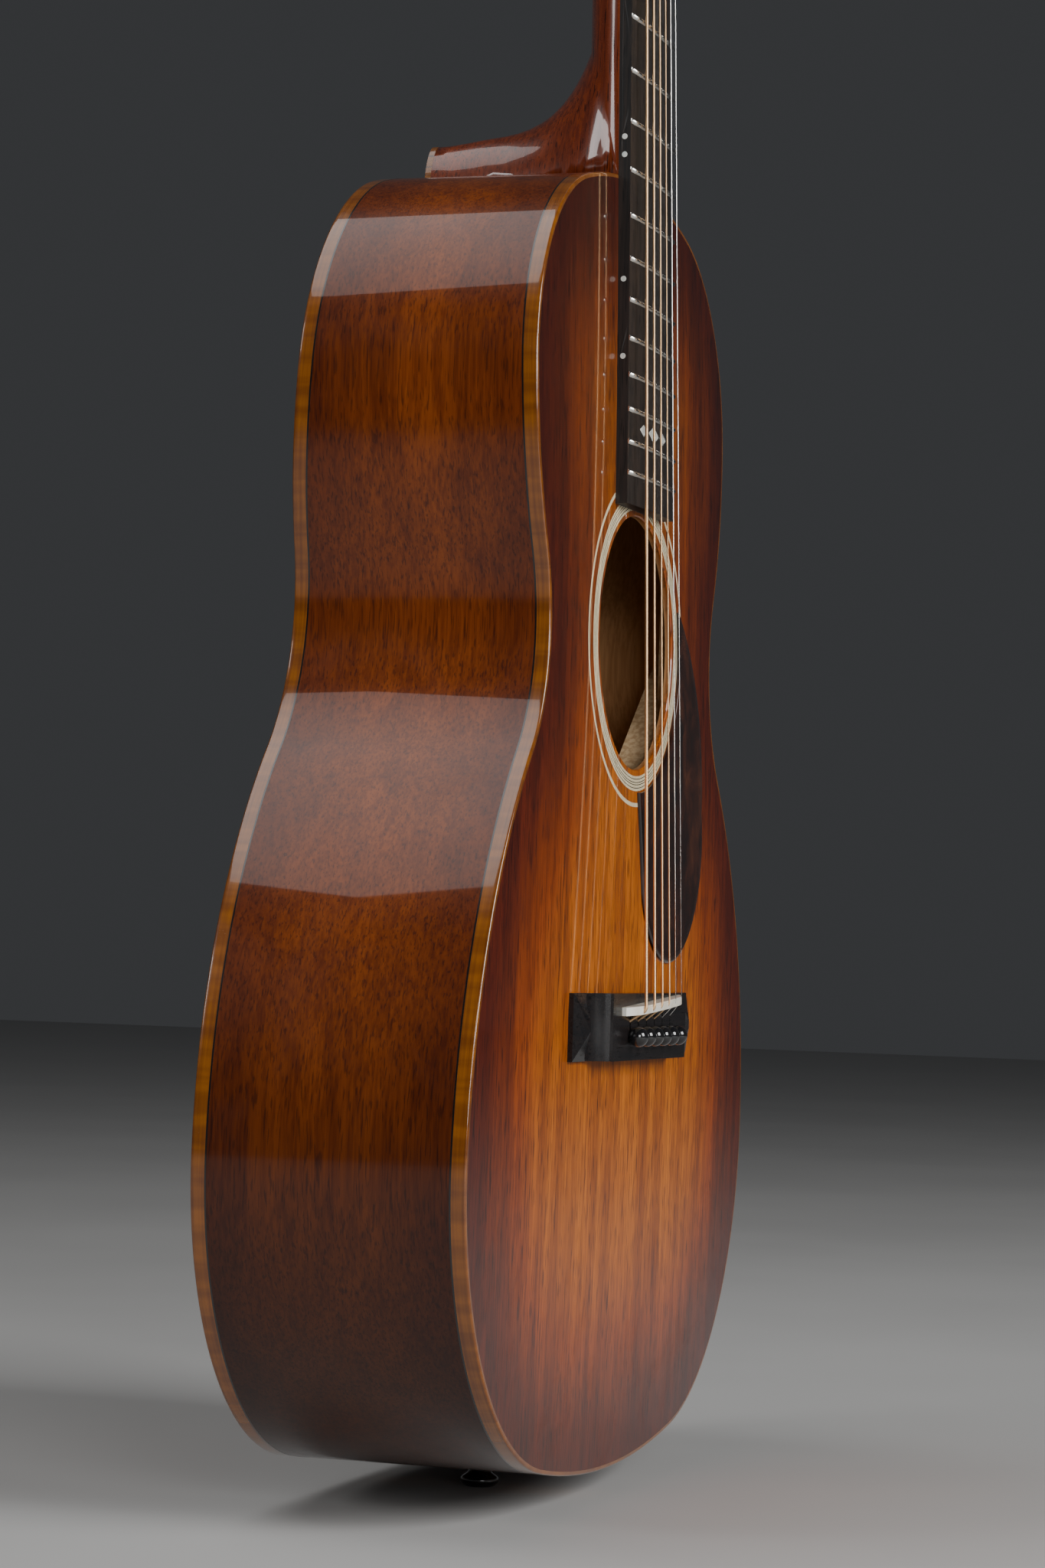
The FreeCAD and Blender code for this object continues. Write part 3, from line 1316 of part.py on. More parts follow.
def tuner_button(index):
    """A round flat button pressed on the worm's shaft."""
    half = BUTTON_THICKNESS / 2.0
    reach = BUTTON_DEPTH - ROLLER_DEPTH
    disc = Part.makeCylinder(BUTTON_RADIUS, BUTTON_THICKNESS, V(0, -half, reach), V(0, 1, 0))
    disc = disc.makeFillet(BUTTON_ROUNDING, [edge for edge in disc.Edges if len(edge.Vertexes) == 1])
    stem = rod(BUTTON_STEM_RADIUS, V(0, 0, reach - BUTTON_RADIUS - 2.2), V(0, 0, reach - BUTTON_RADIUS + 3))
    knob = fused([disc, stem]).cut(rod(SHAFT_RADIUS, V(0, 0, -10), V(0, 0, reach)))
    return in_worm_place(knob, index)


def screw_spots():
    """Height of each plate's screws: beside the slots' ends and between the tuners."""
    first, second, third = ROLLER_HEIGHTS
    return (first - WORM_OFFSET - LUG_HALF_WIDTH - SCREW_BELOW_LUG,
            (first + second) / 2.0 + SCREW_BETWEEN_SHIFT,
            (second + third) / 2.0 + SCREW_BETWEEN_SHIFT,
            third + GEAR_TIP_RADIUS + SCREW_ABOVE_GEAR)


def screw_holes():
    holes = []
    for sign in (-1, 1):
        for height in screw_spots():
            start = V(sign * (HEAD_HALF_WIDTH - SCREW_LENGTH), ROLLER_DEPTH, height)
            holes.append(rod(SCREW_RADIUS, start, V(sign * (HEAD_HALF_WIDTH + 5), ROLLER_DEPTH, height)))
    return Part.makeCompound(holes)


def tuner_plates():
    """Two side plates, each with a pair of lugs for every worm."""
    spots = screw_spots()
    low = spots[0] - PLATE_END_MARGIN / 2.0
    high = spots[-1] + PLATE_END_MARGIN / 2.0
    worm_half = WORM_TURNS * PITCH / 2.0 + THREAD_WIDTH_ROOT + WORM_END_CLEARANCE
    plates = []
    for sign in (-1, 1):
        x0, x1 = sorted((sign * HEAD_HALF_WIDTH, sign * (HEAD_HALF_WIDTH + PLATE_SHEET)))
        sheet = box(x0, x1, ROLLER_DEPTH - PLATE_HALF_WIDTH, ROLLER_DEPTH + PLATE_HALF_WIDTH, low, high)
        pieces = [sheet]
        bores = []
        reach = sign * (GEAR_MIDDLE + LUG_HALF_WIDTH)
        u0, u1 = sorted((sign * HEAD_HALF_WIDTH, reach))
        for height in ROLLER_HEIGHTS:
            middle = height - WORM_OFFSET
            near = ROLLER_DEPTH - worm_half
            far = ROLLER_DEPTH + worm_half
            for t0, t1 in ((near - LUG_THICKNESS, near), (far, far + LUG_THICKNESS)):
                pieces.append(box(u0, u1, t0, t1, middle - LUG_HALF_WIDTH, middle + LUG_HALF_WIDTH))
            bores.append(rod(SHAFT_RADIUS + ROLLER_RUNNING_CLEARANCE,
                             V(sign * GEAR_MIDDLE, near - 20, middle),
                             V(sign * GEAR_MIDDLE, far + 20, middle)))
            bores.append(rod(ROLLER_RADIUS + ROLLER_RUNNING_CLEARANCE,
                             V(sign * (HEAD_HALF_WIDTH - 5), ROLLER_DEPTH, height),
                             V(sign * (HEAD_HALF_WIDTH + 5), ROLLER_DEPTH, height)))
        plate = fused(pieces).cut(Part.makeCompound(bores)).cut(screw_holes())
        plates.append(tidy(plate))
    return placed(Part.makeCompound(plates), HEAD_FRAME)


def tuner_screws():
    """Round-headed screws that hold the plates to the headstock."""
    screws = []
    for sign in (-1, 1):
        face = HEAD_HALF_WIDTH + PLATE_SHEET
        for height in screw_spots():
            start = V(sign * (HEAD_HALF_WIDTH - SCREW_LENGTH), ROLLER_DEPTH, height)
            seat = V(sign * face, ROLLER_DEPTH, height)
            top = V(sign * (face + SCREW_HEAD_HEIGHT), ROLLER_DEPTH, height)
            head = Part.makeCone(SCREW_HEAD_RADIUS, SCREW_HEAD_RADIUS * 0.55, SCREW_HEAD_HEIGHT, seat,
                                 V(sign, 0, 0))
            screws.append(fused([rod(SCREW_RADIUS, start, top), head]))
    return placed(Part.makeCompound(screws), HEAD_FRAME)


# ---- end pin ---------------------------------------------------------------------------------
def end_pin():
    y = end_pin_y()
    shaft = rod(END_PIN_SHAFT_RADIUS, V(0, y, END_PIN_SHAFT_LENGTH), V(0, y, -END_PIN_SHAFT_PROUD))
    neck_part = rod(END_PIN_NECK_RADIUS, V(0, y, -END_PIN_SHAFT_PROUD), V(0, y, -END_PIN_NECK_LENGTH))
    head = rod(END_PIN_HEAD_RADIUS, V(0, y, -END_PIN_NECK_LENGTH),
               V(0, y, -END_PIN_NECK_LENGTH - END_PIN_HEAD_LENGTH))
    round_edge = [edge for edge in head.Edges if len(edge.Vertexes) == 1]
    return fused([shaft, neck_part, head.makeFillet(END_PIN_ROUNDING, round_edge)])


# ---- strings ---------------------------------------------------------------------------------
def winding_x(index):
    """Where a string winds on its roller: inner strings further out, clear of the middle strip."""
    sign = tuner_side(index)
    step = index if index < 3 else 5 - index
    return sign * WINDING_PLACES[step]


def ball_y(index):
    """Height of a string's ball end, under the bridge plate."""
    under = top_y(pin_x(index), slot_z(index)) + TOP_THICKNESS + PLATE_THICKNESS
    return under + BALL_RADIUS + STRING_CLEARANCE


def winding_radius(index):
    return ROLLER_RADIUS + STRING_CLEARANCE + STRING_DIAMETERS[index] / 2.0


def roller_point(index):
    """The middle of a string's turns on its roller, in the headstock's frame."""
    return V(winding_x(index), ROLLER_DEPTH, tuner_height(index))


def string_route(index):
    """A string's corners: ball end, bridge, saddle, nut front, nut back, roller."""
    x = pin_x(index)
    z = slot_z(index)
    start = nut_point(index)
    return [V(x, ball_y(index), z), V(x, ramp_end_y(), z), SADDLE_POINTS[index],
            NECK_FRAME.multVec(start), NECK_FRAME.multVec(V(start.x, start.y, NUT_THICKNESS)),
            HEAD_FRAME.multVec(roller_point(index) - V(0, winding_radius(index), 0))]


def guitar_string(index):
    """A string from its ball end, over saddle and nut, to its roller."""
    radius = STRING_DIAMETERS[index] / 2.0
    route = string_route(index)
    pieces = [rod(radius, first, second) for first, second in zip(route[:-1], route[1:])]
    pieces += [Part.makeSphere(radius + BEND_SWELL, point) for point in route[1:-1]]
    ball_z = PIN_HEIGHT + PIN_SHAFT_RADIUS + BALL_RADIUS - STRING_CLEARANCE
    half_ball = V(BALL_LENGTH / 2.0, 0, 0)
    ball = V(pin_x(index), ball_y(index), ball_z)
    pieces.append(rod(BALL_RADIUS, ball - half_ball, ball + half_ball))
    half_turns = V(WINDING_TURNS * radius, 0, 0)
    past = V(WINDING_TURNS * radius + 1, 0, 0)
    roller = roller_point(index)
    outer = rod(winding_radius(index) + radius, roller - half_turns, roller + half_turns)
    inner = rod(winding_radius(index) - radius, roller - past, roller + past)
    pieces.append(placed(outer.cut(inner), HEAD_FRAME))
    return largest(fused(pieces))


def strings():
    return Part.makeCompound([guitar_string(index) for index in range(6)])


# ---- all nodes -------------------------------------------------------------------------------
SINGLE_NODES = {
    "soundboard": soundboard,
    "back": back,
    "neck_block": neck_block,
    "tail_block": tail_block,
    "linings": linings,
    "top_binding": top_binding,
    "back_binding": back_binding,
    "x_braces": x_braces,
    "top_braces": top_braces,
    "back_braces": back_braces,
    "bridge_plate": bridge_plate,
    "end_graft": end_graft,
    "end_pin": end_pin,
    "heel_cap": heel_cap,
    "rosette": rosette,
    "pickguard": pickguard,
    "bridge": bridge,
    "saddle": saddle,
    "neck": neck,
    "fingerboard": fingerboard,
    "frets": frets,
    "inlays": inlays,
    "nut": nut,
    "headstock_veneer": headstock_veneer,
    "truss_rod": truss_rod,
    "tuner_plates": tuner_plates,
    "tuner_screws": tuner_screws,
    "strings": strings,
}
STRING_NODES = {
    "bridge_pin": bridge_pin,
    "tuner_roller": tuner_roller,
    "tuner_gear": tuner_gear,
    "tuner_worm": tuner_worm,
    "tuner_button": tuner_button,
}


def save(name, shape):
    """Moves a shape so that the origin is the soundhole's centre, and writes it."""
    moved = shape.copy()
    moved.translate(ORIGIN * -1.0)
    moved.exportStep("parts/" + name + ".step")


def main():
    os.makedirs("parts", exist_ok=True)
    for name, make in SINGLE_NODES.items():
        save(name, make())
    save("side_bass", side(-1))
    save("side_treble", side(1))
    for name, make in STRING_NODES.items():
        for index in range(6):
            save(f"{name}_{6 - index}", make(index))


main()
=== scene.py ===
"""Finishes of a small flat-top guitar, built around its CAD frame.

Every length in a field that ends in ``_mm`` is in millimetres, and every mesh is in metres in the
frame's own axes: Z up along the neck, -Y out of the soundboard, X to the treble side.  The origin
is the centre of the soundhole, halfway through the soundboard.
"""
import json
import logging
import math
from dataclasses import dataclass, field
from enum import Enum
from typing import Callable, Dict, List, Sequence, Tuple, Union

import bmesh
import bpy
import numpy as np
from mathutils import Matrix, Vector

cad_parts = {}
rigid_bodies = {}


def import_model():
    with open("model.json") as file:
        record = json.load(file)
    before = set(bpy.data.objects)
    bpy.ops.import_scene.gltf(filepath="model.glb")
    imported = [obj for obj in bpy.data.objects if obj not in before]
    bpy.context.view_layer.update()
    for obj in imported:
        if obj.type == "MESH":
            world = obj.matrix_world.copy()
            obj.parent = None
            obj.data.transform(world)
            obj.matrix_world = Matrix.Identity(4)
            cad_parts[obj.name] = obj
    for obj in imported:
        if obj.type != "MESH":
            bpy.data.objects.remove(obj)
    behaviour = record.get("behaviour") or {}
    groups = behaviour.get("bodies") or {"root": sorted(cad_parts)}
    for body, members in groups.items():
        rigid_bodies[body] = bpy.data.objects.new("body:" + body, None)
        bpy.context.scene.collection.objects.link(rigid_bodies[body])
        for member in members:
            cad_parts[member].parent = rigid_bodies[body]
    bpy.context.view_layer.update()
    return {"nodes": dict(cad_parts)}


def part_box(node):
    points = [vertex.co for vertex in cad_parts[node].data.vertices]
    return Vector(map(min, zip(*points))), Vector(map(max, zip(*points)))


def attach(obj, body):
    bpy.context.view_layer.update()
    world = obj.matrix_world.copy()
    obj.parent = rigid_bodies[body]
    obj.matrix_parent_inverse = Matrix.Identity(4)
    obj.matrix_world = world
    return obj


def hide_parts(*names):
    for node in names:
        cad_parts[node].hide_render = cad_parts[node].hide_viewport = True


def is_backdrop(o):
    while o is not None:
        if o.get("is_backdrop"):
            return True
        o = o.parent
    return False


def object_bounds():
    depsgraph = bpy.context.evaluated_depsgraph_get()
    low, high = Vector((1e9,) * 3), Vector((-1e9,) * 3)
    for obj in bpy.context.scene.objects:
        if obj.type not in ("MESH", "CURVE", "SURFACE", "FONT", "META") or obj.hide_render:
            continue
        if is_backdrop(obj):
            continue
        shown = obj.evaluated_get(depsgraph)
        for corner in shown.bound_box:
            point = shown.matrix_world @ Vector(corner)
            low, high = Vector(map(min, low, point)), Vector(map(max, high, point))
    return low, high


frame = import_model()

MM = 0.001
Colour = Tuple[float, float, float]
Pair = Tuple[float, float]
GroupStart = Tuple["Bench", bpy.types.Node, bpy.types.Node]
Socket = bpy.types.NodeSocket
Value = Union[float, Socket]

logging.basicConfig(level=logging.INFO, format="%(message)s")
log = logging.getLogger("guitar")


class Slot(Enum):
    """The record's material slots, by name."""

    TOP = "mahogany_top"
    BODY = "mahogany_body"
    NECK = "mahogany_neck"
    BINDING = "figured_binding"
    EBONY = "ebony"
    VENEER = "rosewood_veneer"
    GUARD = "tortoise_guard"
    ROSETTE = "rosette_lines"
    BONE = "bone"
    PIN = "black_pin"
    PEARL = "pearl"
    NICKEL = "nickel"
    STEEL = "steel"
    BRASS = "tuner_brass"
    BUTTON = "button_ivory"
    STRING = "string_bronze"


class Axis(Enum):
    """Which way a piece's grain runs, as the turn that brings it onto Z."""

    Z = (0.0, 0.0, 0.0)
    X = (0.0, math.pi / 2.0, 0.0)
    Y = (math.pi / 2.0, 0.0, 0.0)
    RISING = (0.0, math.radians(49.0), 0.0)


# ---- node trees ------------------------------------------------------------------------------
class Bench:
    """A node tree being wired, for a material or for a shader group.

    Args:
        tree: the tree that new nodes go into.
    """

    def __init__(self, tree: bpy.types.NodeTree) -> None:
        """Keeps the tree."""
        self.tree = tree

    def node(self, kind: str, **settings: object) -> bpy.types.Node:
        """Adds a node and sets its properties."""
        made = self.tree.nodes.new(kind)
        for key, value in settings.items():
            setattr(made, key, value)
        return made

    def feed(self, socket: Socket, value: object) -> None:
        """Links a socket from another, or sets it to a number or a colour."""
        if isinstance(value, bpy.types.NodeSocket):
            self.tree.links.new(value, socket)
        elif isinstance(value, tuple) and len(value) == 3 and socket.type == "RGBA":
            socket.default_value = (*value, 1.0)
        else:
            socket.default_value = value

    def math(self, operation: str, first: Value, second: Value = 0.0, clamp: bool = False) -> Socket:
        """One arithmetic step.

        Args:
            operation: the Math node's operation.
            first: first number or socket.
            second: second number or socket.
            clamp: keeps the result from 0 to 1.

        Returns:
            The result's socket.
        """
        made = self.node("ShaderNodeMath", operation=operation, use_clamp=clamp)
        self.feed(made.inputs[0], first)
        self.feed(made.inputs[1], second)
        return made.outputs[0]

    def times(self, first: Value, second: Value) -> Socket:
        """A product."""
        return self.math("MULTIPLY", first, second)

    def plus(self, first: Value, second: Value) -> Socket:
        """A sum."""
        return self.math("ADD", first, second)

    def minus(self, first: Value, second: Value) -> Socket:
        """A difference."""
        return self.math("SUBTRACT", first, second)

    def tinted(self, colour: object, tint: object) -> Socket:
        """A colour multiplied by another."""
        return self.mix(1.0, colour, tint, "MULTIPLY")

    def span(self, value: Value, low: float, high: float, start: float = 0.0, end: float = 1.0) -> Socket:
        """Carries a value smoothly from one range to another, held at both ends."""
        made = self.node("ShaderNodeMapRange", interpolation_type="SMOOTHSTEP")
        self.feed(made.inputs["Value"], value)
        for name, number in (("From Min", low), ("From Max", high), ("To Min", start), ("To Max", end)):
            made.inputs[name].default_value = number
        return made.outputs["Result"]

    def mix(self, share: Value, first: object, second: object, blend: str = "MIX") -> Socket:
        """Mixes two colours."""
        made = self.node("ShaderNodeMix", data_type="RGBA", blend_type=blend)
        self.feed(made.inputs["Factor"], share)
        self.feed(made.inputs[6], first)
        self.feed(made.inputs[7], second)
        return made.outputs[2]

    def ramp(self, value: Value, stops: Sequence[Tuple[float, Colour]]) -> Socket:
        """A colour ramp through the given stops."""
        made = self.node("ShaderNodeValToRGB")
        band = made.color_ramp
        while len(band.elements) < len(stops):
            band.elements.new(0.5)
        for element, (place, colour) in zip(band.elements, stops):
            element.position = place
            element.color = (*colour, 1.0)
        self.feed(made.inputs[0], value)
        return made.outputs[0]

    def place(self, source: Socket, scale: Tuple[float, float, float],
              turn: Tuple[float, float, float] = (0.0, 0.0, 0.0),
              shift: Tuple[float, float, float] = (0.0, 0.0, 0.0)) -> Socket:
        """Turns, then scales coordinates."""
        turned = self.node("ShaderNodeMapping")
        self.feed(turned.inputs["Vector"], source)
        turned.inputs["Rotation"].default_value = turn
        turned.inputs["Location"].default_value = shift
        sized = self.node("ShaderNodeMapping")
        self.feed(sized.inputs["Vector"], turned.outputs[0])
        sized.inputs["Scale"].default_value = scale
        return sized.outputs[0]

    def noise(self, source: Socket, scale: float, detail: float = 3.0, roughness: float = 0.55,
              warp: float = 0.0) -> Socket:
        """Fractal noise from 0 to 1."""
        made = self.node("ShaderNodeTexNoise")
        self.feed(made.inputs["Vector"], source)
        made.inputs["Scale"].default_value = scale
        made.inputs["Detail"].default_value = detail
        made.inputs["Roughness"].default_value = roughness
        made.inputs["Distortion"].default_value = warp
        return made.outputs[0]

    def objects(self) -> Socket:
        """Object coordinates, in metres in the frame's axes."""
        return self.node("ShaderNodeTexCoord").outputs["Object"]

    def attribute(self, name: str) -> Socket:
        """A number stored on the piece's own points."""
        return self.node("ShaderNodeAttribute", attribute_name=name).outputs["Fac"]

    def group(self, name: str, **inputs: object) -> bpy.types.Node:
        """Places a shader group with its own input values, and makes the group the first time."""
        made = self.node("ShaderNodeGroup")
        made.node_tree = bpy.data.node_groups.get(name) or GROUPS[name](name)
        for key, value in inputs.items():
            self.feed(made.inputs[key.replace("_", " ")], value)
        return made


class Paint(Bench):
    """A material being made, with its one Principled shader.

    Args:
        name: the material's name.
        settings: plain values for the shader's own sockets.
    """

    def __init__(self, name: str, **settings: object) -> None:
        """Starts the material."""
        self.material = bpy.data.materials.new(name)
        self.material.use_nodes = True
        super().__init__(self.material.node_tree)
        self.shader = self.tree.nodes["Principled BSDF"]
        for key, value in settings.items():
            self.feed(self.shader.inputs[key.replace("_", " ")], value)

    def colour(self, socket: Socket) -> None:
        """Feeds the base colour."""
        self.feed(self.shader.inputs["Base Color"], socket)

    def roughness(self, socket: Socket) -> None:
        """Feeds the roughness."""
        self.feed(self.shader.inputs["Roughness"], socket)

    def relief(self, height: Socket, depth_mm: float) -> None:
        """Feeds the normal from a height that runs from 0 to 1 over a depth."""
        bump = self.node("ShaderNodeBump")
        bump.inputs["Distance"].default_value = depth_mm * MM
        bump.inputs["Strength"].default_value = 1.0
        self.feed(bump.inputs["Height"], height)
        self.feed(self.shader.inputs["Normal"], bump.outputs[0])


def start_group(name: str, inputs: Dict[str, float], outputs: Sequence[str]) -> GroupStart:
    """Starts a shader group with a Vector input, number inputs and number outputs.

    Args:
        name: the group's name.
        inputs: names of number inputs, with their usual values.
        outputs: names of outputs.

    Returns:
        The bench, the group's input node and its output node.
    """
    tree = bpy.data.node_groups.new(name, "ShaderNodeTree")
    tree.interface.new_socket("Vector", in_out="INPUT", socket_type="NodeSocketVector")
    for key, value in inputs.items():
        made = tree.interface.new_socket(key, in_out="INPUT", socket_type="NodeSocketFloat")
        made.default_value = value
    for key in outputs:
        tree.interface.new_socket(key, in_out="OUTPUT", socket_type="NodeSocketFloat")
    bench = Bench(tree)
    return bench, bench.node("NodeGroupInput"), bench.node("NodeGroupOutput")


def wood_group(name: str) -> bpy.types.NodeTree:
    """Grain that runs along Z: streaks, short pores and broken ribbon stripes, each from 0 to 1."""
    bench, given, out = start_group(name, {"Pore Share": 0.4}, ("Streak", "Pore", "Ribbon"))
    source = given.outputs["Vector"]
    fine = bench.noise(bench.place(source, (800, 800, 22)), 1.0, 3.0, 0.6)
    broad = bench.noise(bench.place(source, (210, 210, 3.6)), 1.0, 4.0, 0.6, 0.4)
    streak = bench.plus(bench.times(fine, 0.6), bench.times(broad, 0.4))
    bench.feed(out.inputs["Streak"], bench.span(streak, 0.36, 0.66))
    dots = bench.noise(bench.place(source, (1350, 1350, 85)), 1.0, 1.0, 0.5)
    gate = bench.minus(0.76, bench.times(given.outputs["Pore Share"], 0.3))
    pore = bench.math("MULTIPLY", bench.minus(dots, gate), 14.0, clamp=True)
    bench.feed(out.inputs["Pore"], pore)
    wave = bench.noise(bench.place(source, (85, 85, 1.6)), 1.0, 1.0, 0.5)
    sway = bench.noise(bench.place(source, (70, 70, 22)), 1.0, 3.0, 0.6)
    ribbon = bench.plus(bench.times(wave, 0.62), bench.times(sway, 0.38))
    bench.feed(out.inputs["Ribbon"], bench.span(ribbon, 0.38, 0.62))
    return bench.tree


def curl_group(name: str) -> bpy.types.NodeTree:
    """Curly figure: soft bars across the grain, which runs along Z, from 0 to 1."""
    bench, given, out = start_group(name, {}, ("Curl",))
    source = given.outputs["Vector"]
    bars = bench.noise(bench.place(source, (18, 18, 150)), 1.0, 2.0, 0.55, 0.3)
    bench.feed(out.inputs["Curl"], bench.span(bars, 0.36, 0.64))
    return bench.tree


def polish_group(name: str) -> bpy.types.NodeTree:
    """Hand polish: a roughness with smudges and fine swirl marks, and a faint unevenness."""
    bench, given, out = start_group(name, {"Base": 0.1, "Smudge": 0.08}, ("Roughness", "Height"))
    source = given.outputs["Vector"]
    smudge = bench.span(bench.noise(bench.place(source, (26, 26, 26)), 1.0, 5.0, 0.65, 0.5), 0.45, 0.75)
    swirl = bench.span(bench.noise(bench.place(source, (900, 300, 420)), 1.0, 2.0, 0.7, 2.0), 0.55, 0.7)
    extra = bench.plus(smudge, bench.times(swirl, 0.35))
    rough = bench.plus(given.outputs["Base"], bench.times(extra, given.outputs["Smudge"]))
    bench.feed(out.inputs["Roughness"], rough)
    bench.feed(out.inputs["Height"], bench.noise(bench.place(source, (140, 140, 60)), 1.0, 3.0, 0.5))
    return bench.tree


def tarnish_group(name: str) -> bpy.types.NodeTree:
    """Handling marks on metal: dull patches and small scratches, from 0 to 1."""
    bench, given, out = start_group(name, {}, ("Dull", "Scratch"))
    source = given.outputs["Vector"]
    dull = bench.noise(bench.place(source, (220, 220, 220)), 1.0, 5.0, 0.65, 0.3)
    bench.feed(out.inputs["Dull"], bench.span(dull, 0.42, 0.68))
    lines = bench.noise(bench.place(source, (3200, 260, 900)), 1.0, 2.0, 0.5)
    bench.feed(out.inputs["Scratch"], bench.span(lines, 0.58, 0.7))
    return bench.tree


GROUPS: Dict[str, Callable[[str], bpy.types.NodeTree]] = {
    "wood": wood_group,
    "curl": curl_group,
    "polish": polish_group,
    "tarnish": tarnish_group,
}


# ---- finishes -----------------------------------------------------------------------------------
@dataclass(frozen=True)
class ShadedMahogany:
    """Lacquered mahogany whose stain darkens towards the edge of the plate, and whose colour is also scaled
    by height: on the side this is painted shade, darkest at the bottom; the back darkens towards the
    bottom, and the top's stain darkens towards the neck.

    The stored number ``edge`` is the distance in metres to the plate's edge, and ``inside`` is 1 on
    the faces inside the body, which stay bare.
    """

    name: str
    centre: Colour
    middle: Colour
    rim: Colour
    fade_mm: Pair = (4.0, 105.0)
    ribbon: float = 0.8
    pores: float = 0.85
    heights_mm: Pair = (120.0, -90.0)
    dimmest: float = 0.55
    bare: Colour = (0.50, 0.27, 0.12)

    def build(self) -> bpy.types.Material:
        """Makes the material."""
        paint = Paint(self.name, Coat_Roughness=0.035, Coat_IOR=1.5, Specular_IOR_Level=0.2)
        source = paint.objects()
        inside = paint.attribute("inside")
        split = paint.node("ShaderNodeSeparateXYZ")
        paint.feed(split.inputs[0], source)
        # A height factor that multiplies the colour: painted shade on the side, darkest at the bottom; on
        # the top, a darker stain towards the neck.
        height_shade_and_stain = paint.span(split.outputs[2], self.heights_mm[0] * MM, self.heights_mm[1] * MM, self.dimmest)
        wood = paint.group("wood", Vector=source, Pore_Share=0.6)
        cloud = paint.noise(paint.place(source, (9, 9, 5)), 1.0, 2.0)
        wander = paint.times(paint.minus(cloud, 0.5), 0.02)
        edge = paint.plus(paint.attribute("edge"), wander)
        inward = paint.span(edge, self.fade_mm[0] * MM, self.fade_mm[1] * MM)
        stain = paint.ramp(inward, [(0.0, self.rim), (0.45, self.middle), (1.0, self.centre)])
        streaked = paint.mix(paint.times(wood.outputs["Streak"], 0.85), stain,
                             paint.tinted(stain, (0.46, 0.34, 0.30)))
        bright = paint.tinted(streaked, (1.6, 1.8, 1.9))
        ribboned = paint.mix(paint.times(wood.outputs["Ribbon"], self.ribbon), streaked, bright)
        dark = paint.tinted(ribboned, (0.22, 0.16, 0.14))
        pored = paint.mix(paint.times(wood.outputs["Pore"], self.pores), ribboned, dark)
        # The stained wood times the height factor, which paints shade on the side's lower part.
        stained_and_height_shade = paint.tinted(pored, height_shade_and_stain)
        bare = paint.mix(wood.outputs["Streak"], self.bare, paint.tinted(self.bare, (0.7, 0.64, 0.58)))
        paint.colour(paint.mix(inside, stained_and_height_shade, bare))
        coat = paint.times(paint.minus(1.0, inside), 0.65)
        paint.feed(paint.shader.inputs["Coat Weight"], coat)
        polish = paint.group("polish", Vector=source, Base=0.30, Smudge=0.1)
        paint.roughness(polish.outputs["Roughness"])
        paint.relief(polish.outputs["Height"], 0.008)
        return paint.material


@dataclass(frozen=True)
class LacqueredWood:
    """Lacquered wood of an even stain, with pores, streaks and ribbon."""

    name: str
    light: Colour
    dark: Colour
    pore_share: float = 0.5
    ribbon: float = 0.5
    coat: float = 0.85
    axis: Axis = Axis.Z
    curl: float = 0.0
    smudge: float = 0.08

    def build(self) -> bpy.types.Material:
        """Makes the material."""
        paint = Paint(self.name, Coat_Weight=self.coat, Coat_Roughness=0.05, Coat_IOR=1.52,
                      Specular_IOR_Level=0.4)
        source = paint.place(paint.objects(), (1, 1, 1), self.axis.value)
        wood = paint.group("wood", Vector=source, Pore_Share=self.pore_share)
        base = paint.mix(wood.outputs["Streak"], self.light, self.dark)
        bright = paint.tinted(base, (1.5, 1.5, 1.5))
        base = paint.mix(paint.times(wood.outputs["Ribbon"], self.ribbon), base, bright)
        if self.curl > 0.0:
            curl = paint.group("curl", Vector=source)
            shade = paint.tinted(base, (0.42, 0.30, 0.22))
            base = paint.mix(paint.times(curl.outputs["Curl"], self.curl), base, shade)
        pores = paint.tinted(base, (0.3, 0.24, 0.2))
        paint.colour(paint.mix(wood.outputs["Pore"], base, pores))
        polish = paint.group("polish", Vector=paint.objects(), Base=0.26, Smudge=self.smudge)
        paint.roughness(polish.outputs["Roughness"])
        paint.relief(polish.outputs["Height"], 0.015)
        return paint.material


@dataclass(frozen=True)
class BindingWood:
    """Figured binding with a dark line along its inner edge.

    The stored number ``band`` runs from 0 at the plate's face to 1 at the binding's inner edge, and
    ``run`` is the distance along the edge, in metres.
    """

    name: str
    light: Colour
    dark: Colour
    line: Colour = (0.008, 0.005, 0.004)

    def build(self) -> bpy.types.Material:
        """Makes the material."""
        paint = Paint(self.name, Coat_Weight=0.9, Coat_Roughness=0.04, Coat_IOR=1.52)
        run = paint.attribute("run")
        joined = paint.node("ShaderNodeCombineXYZ")
        paint.feed(joined.inputs["Z"], run)
        paint.feed(joined.inputs["X"], paint.times(paint.attribute("band"), 0.006))
        source = joined.outputs[0]
        curl = paint.group("curl", Vector=source)
        wood = paint.group("wood", Vector=source, Pore_Share=0.25)
        base = paint.mix(wood.outputs["Streak"], self.light, self.dark)
        shade = paint.tinted(base, (0.40, 0.28, 0.2))
        figured = paint.mix(paint.times(curl.outputs["Curl"], 0.5), base, shade)
        at_line = paint.span(paint.attribute("band"), 0.885, 0.9)
        paint.colour(paint.mix(at_line, figured, self.line))
        polish = paint.group("polish", Vector=paint.objects(), Base=0.2, Smudge=0.08)
        paint.roughness(polish.outputs["Roughness"])
        paint.relief(curl.outputs["Curl"], 0.01)
        return paint.material


